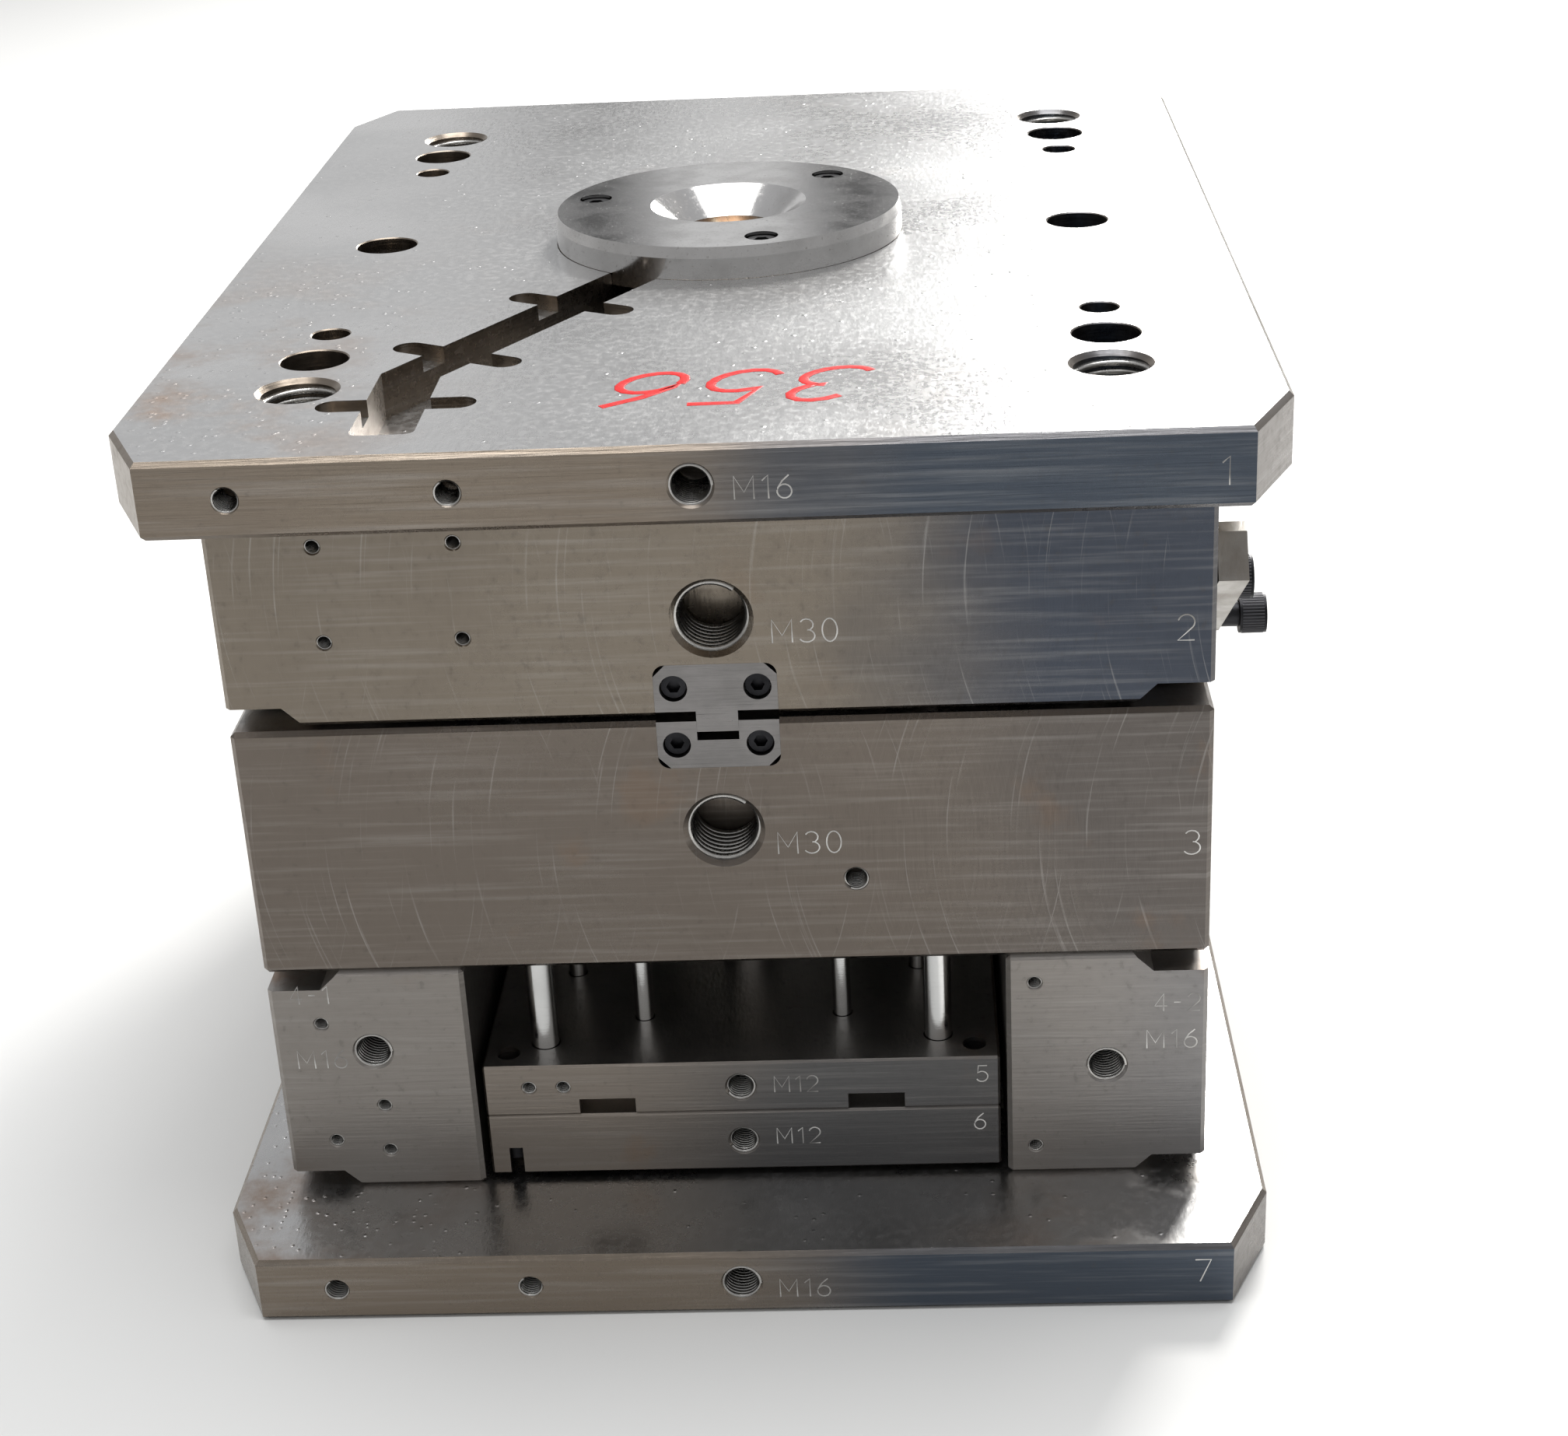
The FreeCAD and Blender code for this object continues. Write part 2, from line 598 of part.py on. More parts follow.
def wiring_channel():
    """Slanted leg from the sprue, a leg straight to the front and a drop past the cavity plate."""
    half = channel_width / 2
    floor = top_z - channel_depth
    slant = math.radians(channel_slant)
    bend_y = channel_leg_x / math.tan(slant)
    reach = math.hypot(channel_leg_x, bend_y)
    turn = half * math.tan(slant / 2)
    first = slanted(box(0, reach + turn, -half, half, floor, top_z + 1), 0)
    left, right = channel_leg_x - half, channel_leg_x + half
    second = box(left, right, channel_front_y, bend_y + turn, floor, top_z + 1)
    end_edges = [e for e in second.Edges
                 if abs(e.tangentAt(e.FirstParameter).z) > 0.9 and e.Vertexes[0].Y < channel_front_y + 1]
    second = second.makeFillet(channel_end_radius, end_edges)
    corner = box(left, right, bend_y - half, bend_y + turn, floor, top_z + 1)
    margin = channel_drop_margin
    drop = box(left + margin, right - margin, channel_front_y + margin, channel_front_y + channel_drop,
               top_clamp_z - 1, top_z)
    return first.fuse([second.fuse(corner), drop])


def clip_recess():
    """Round-ended recess across the channel, drawn along Y at the origin."""
    run = (clip_length - clip_width) / 2
    middle = box(-clip_width / 2, clip_width / 2, -run, run, top_z - clip_depth, top_z + 1)
    ends = rods([(0, -run), (0, run)], top_z - clip_depth, top_z + 1, clip_width)
    return middle.fuse(ends).removeSplitter()


def ring_seat():
    """Recess for the register of the locating ring, with a bevel round its edge."""
    wall = ring_register_diameter / 2 + seat_play
    floor = top_z - ring_recess
    edge = wall + ring_recess_bevel
    return revolved([(0, floor), (wall, floor), (wall, top_z - ring_recess_bevel), (edge, top_z),
                     (edge, top_z + 1), (0, top_z + 1)])


def top_clamp_plate():
    plate = clamp_plate(top_clamp_z, top_clamp_thickness)
    cuts = [wiring_channel()]
    cuts += [slanted(clip_recess(), distance) for distance in clip_distances]
    cuts.append(turned(clip_recess(), (channel_leg_x, front_clip_y, 0), (0, 0, 1)))
    cuts[-1].rotate(V(channel_leg_x, front_clip_y, 0), V(0, 0, 1), 90)
    z0, z1 = top_clamp_z - 1, top_z + 1
    head_diameter = head_bore(clamp_screw, top_head_play)
    cuts += rods(top_screw_spots, z0, z1, clamp_shank)
    cuts += rods(top_screw_spots, top_clamp_z + top_screw_grip, z1, head_diameter)
    cuts += rods(top_dowel_spots, z0, z1, dowel_bore)
    cuts += rods(corners(lift_x, lift_y), z0, z1, lift_thread)
    cuts += top_mouths(top_screw_spots, head_diameter)
    cuts += top_mouths(top_dowel_spots, dowel_bore)
    cuts += top_mouths(corners(lift_x, lift_y), lift_thread, lift_bevel)
    cuts.append(ring_seat())
    cuts.append(rod((0, 0), z0, top_z, wide(sprue_flange_diameter, sprue_chamber_room)))
    thread_end = top_z - ring_recess - ring_screw_bite - tap_run
    cuts += rods(ring_screw_spots, thread_end, z1, thread_bore(ring_screw))
    cuts += clamp_front_holes(top_clamp_z + top_clamp_thickness / 2)
    return plate.cut(cuts)


# ---- locating ring and hot sprue ---------------------------------------------------------
def locating_ring():
    outer, register, throat = ring_diameter / 2, ring_register_diameter / 2, ring_throat_diameter / 2
    z0, z1 = top_z - ring_recess, top_z + ring_height
    ring = revolved([(throat, z0), (register, z0), (register, top_z), (outer, top_z),
                     (outer, z1 - ring_taper_height), (outer - ring_taper, z1),
                     (throat + ring_cone_width, z1), (throat, z1 - ring_cone_depth)])
    cuts = rods(ring_screw_spots, z0 - 1, z1 + 1, shank_bore(ring_screw))
    cuts += rods(ring_screw_spots, top_z + ring_screw_grip, z1 + 1, head_bore(ring_screw))
    return ring.cut(cuts)


def hot_sprue():
    """Flange held down by the ring, body down to the cavity insert, ball seat on top."""
    flange, body = sprue_flange_diameter / 2, sprue_body_diameter / 2
    top = top_z - ring_recess
    shoulder = top_clamp_z - sprue_seat_depth
    bottom = parting_z + sprue_land
    sprue = revolved([(0, bottom), (body, bottom), (body, shoulder), (flange, shoulder),
                      (flange, top), (0, top)])
    seat = Part.makeSphere(sprue_seat_radius, V(0, 0, top + sprue_seat_rise))
    return sprue.cut([seat, rod((0, 0), bottom - 1, top, sprue_orifice_diameter)])


# ---- ejector plates ----------------------------------------------------------------------
def ejector_plate(z0, thickness):
    x, y = ejector_half_width, ejector_half_length
    plate = box(-x, x, -y, y, z0, z0 + thickness)
    return plate.makeChamfer(ejector_edge_bevel, plate.Edges)


def ejector_retainer_plate():
    """Holds the pins by their heads, which are let into its underside."""
    plate = ejector_plate(retainer_z, ejector_retainer_thickness)
    z0, z1 = retainer_z - 1, retainer_top_z + 1
    head_room = pin_head_rim + screw_play
    cuts = rods(return_spots, z0, z1, wide(return_pin_diameter, screw_play))
    cuts += rods(return_spots, z0, retainer_z + return_head_height, wide(return_pin_diameter, head_room))
    cuts += rods(ejector_pin_spots, z0, z1, wide(ejector_pin_diameter, screw_play))
    head_bore_diameter = wide(ejector_pin_diameter, head_room)
    cuts += rods(ejector_pin_spots, z0, retainer_z + ejector_head_height, head_bore_diameter)
    cuts += rods(ejector_screw_spots, z0, z1, thread_bore(ejector_plate_screw))
    flange_bore = wide(guide_bush_diameter, guide_bush_flange_rim + seat_play)
    cuts += rods(guide_spots, z0, z1, wide(guide_bush_diameter, seat_play))
    cuts += rods(guide_spots, z0, retainer_z + guide_bush_flange_height, flange_bore)
    cuts += rods(pillar_spots, z0, z1, wide(pillar_diameter, pillar_room))
    for end in (-1, 1):
        y0, y1 = sorted((end * ejector_half_length, end * (ejector_half_length - ejector_pry_reach)))
        for x in (-ejector_pry_x, ejector_pry_x):
            x0, x1 = x - ejector_pry_width / 2, x + ejector_pry_width / 2
            cuts.append(box(x0, x1, y0, y1, z0, retainer_z + ejector_pry_height))
    spot = (0, -ejector_half_length, retainer_z + ejector_retainer_thickness / 2)
    cuts.append(sunk_hole(spot, front, ejector_thread, ejector_thread_depth, handling_bevel))
    for inset in retainer_pair_inset:
        spot = (inset - ejector_half_width, -ejector_half_length, retainer_z + retainer_pair_height)
        cuts.append(sunk_hole(spot, front, small_thread, small_depth))
    return plate.cut(cuts)


def ejector_base_plate():
    plate = ejector_plate(ejector_base_z, ejector_base_thickness)
    z0, z1 = ejector_base_z - 1, retainer_z + 1
    cuts = rods(ejector_screw_spots, z0, z1, shank_bore(ejector_plate_screw))
    head_z = retainer_z - ejector_plate_screw_grip
    cuts += rods(ejector_screw_spots, z0, head_z, head_bore(ejector_plate_screw))
    cuts += rods(guide_spots, z0, z1, wide(guide_bush_diameter, seat_play))
    cuts += rods(pillar_spots, z0, z1, wide(pillar_diameter, pillar_room))
    cuts.append(rod((0, 0), z0, z1, knockout_thread))
    notch_x = base_notch_inset - ejector_half_width
    cuts.append(box(notch_x - base_notch_width / 2, notch_x + base_notch_width / 2, -ejector_half_length - 1,
                    base_notch_reach - ejector_half_length, z0, ejector_base_z + base_notch_height))
    spot = (0, -ejector_half_length, ejector_base_z + ejector_base_thickness / 2)
    cuts.append(sunk_hole(spot, front, ejector_thread, ejector_thread_depth, handling_bevel))
    return plate.cut(cuts)


# ---- pins, bushes, pillars and buttons ---------------------------------------------------
def headed_pin(spot, z0, z1, diameter, head_height):
    head = rod(spot, z0, z0 + head_height, wide(diameter, pin_head_rim))
    return rod(spot, z0, z1, diameter).fuse(head).removeSplitter()


def guide_bush(spot):
    flange_diameter = wide(guide_bush_diameter, guide_bush_flange_rim)
    flange = rod(spot, retainer_z, retainer_z + guide_bush_flange_height, flange_diameter)
    bore = rod(spot, ejector_base_z - 1, retainer_top_z + 1, wide(guide_diameter, running_play))
    body = rod(spot, ejector_base_z, retainer_top_z, guide_bush_diameter)
    return body.fuse(flange).cut(bore).removeSplitter()


def leader_pin(spot):
    tip = top_clamp_z - leader_tip_clearance
    body = leader_diameter / 2
    head = body + leader_head_rim
    shoulder = core_z + leader_head_height
    pin = revolved([(0, core_z), (head, core_z), (head, shoulder), (body, shoulder),
                    (body, tip - leader_tip_length), (body - leader_tip_taper, tip), (0, tip)])
    pin.translate(V(spot[0], spot[1], 0))
    return pin


def leader_bush(spot):
    bore = leader_diameter / 2 + running_play
    body = bush_diameter / 2
    head = body + bush_head_rim
    bottom, shoulder = cavity_z + edge_bevel, top_clamp_z - bush_head_height
    bush = revolved([(bore, bottom), (body, bottom), (body, shoulder), (head, shoulder),
                     (head, top_clamp_z), (bore, top_clamp_z)])
    bush.translate(V(spot[0], spot[1], 0))
    return bush


def support_pillar(spot):
    thread_end = spacer_z + pillar_screw_bite + tap_run
    thread = rod(spot, spacer_z - 1, thread_end, thread_bore(pillar_screw))
    return rod(spot, spacer_z, core_z, pillar_diameter).cut(thread)


def stop_button(spot):
    stem = rod(spot, spacer_z - button_stem_depth, spacer_z, button_stem_diameter)
    return rod(spot, spacer_z, ejector_base_z, button_diameter).fuse(stem).removeSplitter()


# ---- straight interlocks -----------------------------------------------------------------
def lock_pocket(end, z_face, z_sign, height):
    """Open pocket in the end face, with milled corner radii away from the parting line."""
    half = lock_width / 2 + insert_play
    y0 = end * half_length
    y1 = y0 - end * lock_depth
    z1 = z_face + z_sign * (height + insert_play)
    z0 = z_face - z_sign
    pocket = box(-half, half, min(y0 + end, y1), max(y0 + end, y1), min(z0, z1), max(z0, z1))
    far = [e for e in pocket.Edges
           if abs(e.tangentAt(e.FirstParameter).y) > 0.9 and abs(e.Vertexes[0].Z - z1) < 0.01]
    return pocket.makeFillet(lock_corner_cut, far)


def lock_screw_holes(z):
    """Threads behind both interlocks of a plate."""
    holes = []
    depth = lock_screw_bite + tap_run
    for end, axis in ((-1, front), (1, back)):
        y = end * (half_length - lock_depth)
        for x in (-lock_screw_x, lock_screw_x):
            holes.append(level_hole((x, y, z), axis, thread_bore(lock_screw), depth))
    return holes


def lock_block(end, outline, screw_z):
    """Interlock half from its XZ outline, with two counterbored screw holes."""
    y0 = end * half_length
    points = [V(x, y0, z) for x, z in outline]
    face = Part.Face(Part.makePolygon(points + points[:1]))
    block = face.extrude(V(0, -end * lock_depth, 0))
    axis = front if end < 0 else back
    head_depth = lock_depth - lock_screw_grip
    head_diameter = head_bore(lock_screw, lock_head_play)
    for x in (-lock_screw_x, lock_screw_x):
        spot = (x, y0, screw_z)
        shank_hole = level_hole(spot, axis, shank_bore(lock_screw), lock_depth + 1)
        block = block.cut([shank_hole, level_hole(spot, axis, head_diameter, head_depth)])
    return block


def upper_lock(end):
    half, cut = lock_width / 2, lock_corner_cut
    tongue = lock_tongue_width / 2
    shoulder = cavity_z + edge_bevel
    top = shoulder + lock_upper_height
    tip = shoulder - lock_tongue_length
    outline = [(-half, shoulder), (-tongue, shoulder), (-tongue, tip), (tongue, tip), (tongue, shoulder),
               (half, shoulder), (half, top - cut), (half - cut, top), (cut - half, top), (-half, top - cut)]
    return lock_block(end, outline, shoulder + lock_upper_height / 2)


def lower_lock(end):
    half, cut = lock_width / 2, lock_corner_cut
    notch = lock_tongue_width / 2 + lock_tongue_play
    top = core_top_z
    bottom = top - lock_lower_height
    floor = top - lock_notch_depth
    outline = [(-half, top), (-half, bottom + cut), (cut - half, bottom), (half - cut, bottom),
               (half, bottom + cut), (half, top), (notch, top), (notch, floor),
               (-notch, floor), (-notch, top)]
    return lock_block(end, outline, top - lock_lower_height / 2)


def lock_screws(z):
    """The four screws that hold both interlocks of a plate, heads outwards."""
    screw = cap_screw(lock_screw, lock_screw_grip + lock_screw_bite)
    screws = []
    for end, axis in ((-1, back), (1, front)):
        y = end * (half_length - lock_depth + lock_screw_grip)
        screws += [turned(screw, (x, y, z), axis) for x in (-lock_screw_x, lock_screw_x)]
    return screws


# ---- safety strap ------------------------------------------------------------------------
def safety_strap():
    """Flat bar on a pivot screw: cut front corners, a hole at the rear end for the core plate."""
    half, front_end, rear_end = strap_width / 2, -strap_front_reach, strap_rear_reach
    cut = strap_end_cut
    outline = [(front_end, -half), (rear_end - cut, -half), (rear_end, cut - half),
               (rear_end, half - cut), (rear_end - cut, half), (front_end + cut, half),
               (front_end, half - cut)]
    points = [V(0, y, z) for y, z in outline]
    bar = Part.Face(Part.makePolygon(points + points[:1])).extrude(V(strap_thickness, 0, 0))
    along_x = (1, 0, 0)
    through = strap_thickness + 2
    cuts = [level_hole((-1, 0, 0), along_x, wide(strap_screw[0], running_play), through)]
    head_floor = strap_thickness - strap_screw_recess
    cuts.append(level_hole((head_floor, 0, 0), along_x, head_bore(strap_screw), strap_screw_recess + 1))
    rear_hole = (-1, rear_end - strap_hole_inset, 0)
    cuts.append(level_hole(rear_hole, along_x, shank_bore(strap_screw), through))
    bar = bar.cut(cuts)
    bar.rotate(V(0, 0, 0), V(1, 0, 0), -strap_tilt)
    bar.translate(V(half_width + strap_gap, strap_pivot_y, strap_pivot_z))
    return bar


def strap_washer():
    washer = Part.makeCylinder(strap_screw[0] / 2 + strap_washer_rim, strap_gap)
    washer = washer.cut(Part.makeCylinder(strap_screw[0] / 2 + thread_play, strap_gap))
    return turned(washer, (half_width, strap_pivot_y, strap_pivot_z), (1, 0, 0))


def side_screw(stand_off, y, z):
    """Screw of the safety strap, its head the stand-off away from the side of the plate."""
    screw = cap_screw(strap_screw, stand_off + strap_screw_bite)
    return turned(screw, (half_width + stand_off, y, z), (1, 0, 0))


# ---- screw and dowel groups --------------------------------------------------------------
def screws_down(spots, screw, head_z, length):
    shape = cap_screw(screw, length)
    return [turned(shape, (x, y, head_z), (0, 0, 1)) for x, y in spots]


def screws_up(spots, screw, head_z, length):
    shape = cap_screw(screw, length)
    return [turned(shape, (x, y, head_z), (0, 0, -1)) for x, y in spots]


os.makedirs("parts", exist_ok=True)

save("bottom_clamp_plate", bottom_clamp_plate())
left_small_holes = [(inset, height)
                    for inset, pair in zip(left_block_pair_inset, left_block_pair_heights)
                    for height in pair]
right_small_holes = [(right_block_pair_inset, height) for height in right_block_pair_heights]
save("spacer_block_left", spacer_block(-1, spacer_left_hole_height, left_small_holes))
save("spacer_block_right", spacer_block(1, spacer_right_hole_height, right_small_holes))
save("core_plate", core_plate())
save("core_insert", core_insert())
save("cavity_plate", cavity_plate())
save("cavity_insert", cavity_insert())
save("top_clamp_plate", top_clamp_plate())
save("locating_ring", locating_ring())
save("hot_sprue", hot_sprue())
save("ejector_retainer_plate", ejector_retainer_plate())
save("ejector_base_plate", ejector_base_plate())

return_pin_top = cavity_z - shutoff_play
guide_pin_top = core_z + guide_socket_depth
save("return_pins", *[headed_pin(spot, retainer_z, return_pin_top, return_pin_diameter, return_head_height)
                      for spot in return_spots])
save("ejector_pins", *[headed_pin(spot, retainer_z, parting_z, ejector_pin_diameter, ejector_head_height)
                       for spot in ejector_pin_spots])
save("ejector_guide_pins", *[headed_pin(spot, 0, guide_pin_top, guide_diameter, guide_head_height)
                             for spot in guide_spots])
save("ejector_guide_bushes", *[guide_bush(spot) for spot in guide_spots])
save("leader_pins", *[leader_pin(spot) for spot in leader_spots])
save("leader_bushes", *[leader_bush(spot) for spot in leader_spots])
save("support_pillars", *[support_pillar(spot) for spot in pillar_spots])
save("stop_buttons", *[stop_button(spot) for spot in button_spots])

save("interlock_upper_front", upper_lock(-1))
save("interlock_upper_back", upper_lock(1))
save("interlock_lower_front", lower_lock(-1))
save("interlock_lower_back", lower_lock(1))
save("interlock_upper_screws", *lock_screws(cavity_z + edge_bevel + lock_upper_height / 2))
save("interlock_lower_screws", *lock_screws(core_top_z - lock_lower_height / 2))

save("safety_strap", safety_strap())
save("strap_washer", strap_washer())
strap_grip = strap_gap + strap_thickness - strap_screw_recess + running_play
save("strap_pivot_screw", side_screw(strap_grip, strap_pivot_y, strap_pivot_z))
save("parked_transport_screw", side_screw(parked_screw_stand_off, parked_screw_y, parked_screw_z))

save("top_clamp_screws", *screws_down(top_screw_spots, clamp_screw, top_clamp_z + top_screw_grip,
                                      top_screw_grip + clamp_screw_bite))
save("bottom_clamp_screws", *screws_up(bottom_screw_spots, clamp_screw, spacer_z - bottom_screw_grip,
                                       bottom_screw_grip + spacer_height + clamp_screw_bite))
save("top_dowels", *rods(top_dowel_spots, top_clamp_z - dowel_bite, top_z - top_dowel_drop, dowel_diameter))
save("bottom_dowels", *rods(bottom_dowel_spots, edge_bevel, spacer_z + dowel_bite, dowel_diameter))
save("core_insert_screws", *screws_up(insert_screw_spots, insert_screw, core_insert_head_z,
                                      core_floor_z - core_insert_head_z + insert_screw_bite))
save("cavity_insert_screws", *screws_down(insert_screw_spots, insert_screw, cavity_insert_head_z,
                                          cavity_insert_head_z - cavity_roof_z + insert_screw_bite))
save("pillar_screws", *screws_up(pillar_spots, pillar_screw, spacer_z - pillar_screw_grip,
                                 pillar_screw_grip + pillar_screw_bite))
ejector_screw_bite = ejector_retainer_thickness - ejector_plate_screw_short
save("ejector_plate_screws", *screws_up(ejector_screw_spots, ejector_plate_screw,
                                        retainer_z - ejector_plate_screw_grip,
                                        ejector_plate_screw_grip + ejector_screw_bite))
save("locating_ring_screws", *screws_down(ring_screw_spots, ring_screw, top_z + ring_screw_grip,
                                          ring_screw_grip + ring_recess + ring_screw_bite))
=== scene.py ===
import json
import math

import bpy
from mathutils import Matrix, Vector


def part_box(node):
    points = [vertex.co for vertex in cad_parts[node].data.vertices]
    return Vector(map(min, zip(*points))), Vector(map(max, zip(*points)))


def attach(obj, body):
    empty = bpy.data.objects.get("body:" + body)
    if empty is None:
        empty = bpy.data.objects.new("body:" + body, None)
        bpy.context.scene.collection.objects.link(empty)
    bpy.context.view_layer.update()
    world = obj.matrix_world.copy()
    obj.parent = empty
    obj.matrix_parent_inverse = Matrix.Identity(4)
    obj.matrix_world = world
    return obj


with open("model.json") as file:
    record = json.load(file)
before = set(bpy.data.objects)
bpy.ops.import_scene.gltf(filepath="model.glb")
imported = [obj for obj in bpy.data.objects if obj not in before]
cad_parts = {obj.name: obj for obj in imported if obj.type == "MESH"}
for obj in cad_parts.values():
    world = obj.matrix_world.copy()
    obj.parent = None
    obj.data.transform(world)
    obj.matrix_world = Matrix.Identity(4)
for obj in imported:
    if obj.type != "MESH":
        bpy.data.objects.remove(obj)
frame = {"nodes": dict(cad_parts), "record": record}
nodes = frame["nodes"]
mounts = {mount["name"]: mount for mount in frame["record"]["mounts"]}
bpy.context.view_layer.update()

# ---- camera ------------------------------------------------------------------------------
# Stands just over a metre in front of the mould and a little to its right, at eye height above
# a bench, and looks down on the top clamp plate.
camera_place = Vector((0.0809, -1.2270, 0.7087))
camera_heading = math.radians(3.14)
camera_pitch = math.radians(65.11)
camera_roll = math.radians(-2.94)
camera_lens = 61.65

lens = bpy.data.cameras.new("camera")
lens.lens = camera_lens
lens.sensor_width = 36
camera = bpy.data.objects.new("camera", lens)
turns = (Matrix.Rotation(camera_heading, 4, "Z"), Matrix.Rotation(camera_pitch, 4, "X"),
         Matrix.Rotation(camera_roll, 4, "Z"))
camera.matrix_world = Matrix.Translation(camera_place) @ turns[0] @ turns[1] @ turns[2]
bpy.context.scene.collection.objects.link(camera)
bpy.context.scene.camera = camera

# ---- studio ------------------------------------------------------------------------------
# A pale floor in a white tent, lit by a soft box overhead, one low behind the mould and a key
# light from behind. Low behind the mould stand a bright screen and two soft black flags, which
# only the steel shows: what the camera sees of the tent itself stays plain.
floor_size = 16.0
floor_colour = (0.72, 0.72, 0.71, 1)
tent_low = (0.5, 0.5, 0.5, 1)
tent_high = (0.72, 0.73, 0.75, 1)
tent_strength = 0.8
screen_strength = 0.55
screen_top = 0.40
edge_softness = 0.10
flag_softness = 0.012
flag_depth = 0.85
black_flags = ((-0.118, 0.028), (-0.016, 0.026))


def area_light(name, place, aim, size, power, colour=(1, 1, 1)):
    data = bpy.data.lights.new(name, "AREA")
    data.shape = "RECTANGLE"
    data.size, data.size_y = size
    data.energy = power
    data.color = colour
    light = bpy.data.objects.new(name, data)
    light.location = place
    light.rotation_mode = "QUATERNION"
    light.rotation_quaternion = (Vector(aim) - Vector(place)).to_track_quat("-Z", "Y")
    bpy.context.scene.collection.objects.link(light)


area_light("overhead_box", place=(0.0, -0.2, 2.6), aim=(0, 0, 0.2), size=(2.0, 1.6), power=55)
area_light("back_right_box", place=(1.0, 3.6, 1.3), aim=(0.1, 0, 0.35), size=(1.1, 0.9), power=70,
           colour=(1, 0.99, 0.97))
area_light("back_key", place=(0.9, 2.2, 2.4), aim=(0, 0, 0.2), size=(0.7, 0.7), power=90,
           colour=(1, 0.98, 0.95))

half = floor_size / 2
floor_mesh = bpy.data.meshes.new("floor")
floor_mesh.from_pydata([(-half, -half, 0), (half, -half, 0), (half, half, 0), (-half, half, 0)],
                       [], [(0, 1, 2, 3)])
floor = bpy.data.objects.new("floor", floor_mesh)
bpy.context.scene.collection.objects.link(floor)
floor_paint = bpy.data.materials.new("floor")
floor_paint.use_nodes = True
floor_shader = floor_paint.node_tree.nodes["Principled BSDF"]
floor_shader.inputs["Base Color"].default_value = floor_colour
floor_shader.inputs["Roughness"].default_value = 0.9
floor_mesh.materials.append(floor_paint)


def put(tree, kind, inputs=None, family="ShaderNode", **settings):
    """Adds a node. An input is a constant or another node's output."""
    node = tree.nodes.new(family + kind)
    for setting, value in settings.items():
        setattr(node, setting, value)
    for socket, value in (inputs or {}).items():
        if isinstance(value, bpy.types.NodeSocket):
            tree.links.new(value, node.inputs[socket])
        else:
            node.inputs[socket].default_value = value
    return node


def sums(tree, operation, a, b=0.0, c=0.0, clamp=False):
    inputs = {0: a, 1: b, 2: c}
    return put(tree, "Math", inputs, operation=operation, use_clamp=clamp).outputs[0]


def soft_step(tree, value, edge, softness):
    """1 well under the edge and 0 above it."""
    return sums(tree, "MULTIPLY_ADD", value, -1 / softness, edge / softness, clamp=True)


world = bpy.data.worlds.new("tent")
world.use_nodes = True
tent = world.node_tree
sky = put(tent, "TexCoord").outputs["Generated"]
sideways, back, up = put(tent, "SeparateXYZ", {"Vector": sky}).outputs
ramp = put(tent, "ValToRGB", {"Fac": up})
low_stop, high_stop = ramp.color_ramp.elements
low_stop.position, low_stop.color = 0.0, tent_low
high_stop.position, high_stop.color = 1.0, tent_high
seen_by_camera = put(tent, "LightPath").outputs["Is Camera Ray"]
screen = soft_step(tent, up, screen_top, edge_softness)
screen = sums(tent, "MULTIPLY", screen, sums(tent, "MULTIPLY", back, 2.0, clamp=True))
screen = sums(tent, "MULTIPLY", screen, sums(tent, "SUBTRACT", 1.0, seen_by_camera))
aside = sums(tent, "DIVIDE", sideways, sums(tent, "MAXIMUM", back, 0.05))
flags = 0.0
for middle, reach in black_flags:
    off = sums(tent, "ABSOLUTE", sums(tent, "SUBTRACT", aside, middle))
    flags = sums(tent, "ADD", flags, soft_step(tent, off, reach, flag_softness))
flags = sums(tent, "MULTIPLY", flags, screen)
strength = sums(tent, "MULTIPLY_ADD", screen, screen_strength, tent_strength)
strength = sums(tent, "MULTIPLY", strength, sums(tent, "MULTIPLY_ADD", flags, -flag_depth, 1.0))
background = tent.nodes["Background"]
tent.links.new(ramp.outputs["Color"], background.inputs["Color"])
tent.links.new(strength, background.inputs["Strength"])
bpy.context.scene.world = world
bpy.context.scene.view_settings.view_transform = "Standard"

# ---- clamp plates ------------------------------------------------------------------------
# The outer plates of the stack, milled tool steel with ground faces. The top one is oiled and
# speckled with drops, with brown stains at the front left and dried film on the right.
clamp_pale, clamp_deep = (0.66, 0.655, 0.65), (0.50, 0.50, 0.50)
# The side tones are painted reflections of the floor in front: beige where it is sunlit at the left,
# dark blue where it is shaded at the right, both painted darker than the top as shade.
clamp_sunlit_reflection, clamp_shaded_reflection = (0.215, 0.18, 0.145), (0.070, 0.083, 0.104)
stain_brown = (0.26, 0.15, 0.08)
speck_dark = (0.10, 0.09, 0.08)
film_white = (0.88, 0.88, 0.86)
stain_left_x, stain_left_y = (-0.06, -0.22), (0.05, -0.27)
stain_near_x, stain_near_y = (0.05, 0.13), (-0.18, -0.27)
film_x = (0.13, 0.20)
scratch_share = 0.22
bump_strength = 0.6
plate_bump = 0.0006


def band(tree, value, low, high, start=0.0, end=1.0):
    """Runs smoothly from start to end as the value goes from low to high."""
    inputs = {"Value": value, "From Min": low, "From Max": high, "To Min": start, "To Max": end}
    return put(tree, "MapRange", inputs, interpolation_type="SMOOTHSTEP").outputs["Result"]


def mixed(tree, share, a, b):
    colours = [tuple(c) + (1,) if isinstance(c, tuple) else c for c in (a, b)]
    return put(tree, "Mix", {0: share, 6: colours[0], 7: colours[1]}, data_type="RGBA").outputs[2]


def noise(tree, where, scale, detail=3.0, stretch=(1, 1, 1), roughness=0.55):
    spread = put(tree, "Mapping", {"Vector": where, "Scale": stretch}).outputs["Vector"]
    inputs = {"Vector": spread, "Scale": scale, "Detail": detail, "Roughness": roughness}
    return put(tree, "TexNoise", inputs).outputs["Fac"]


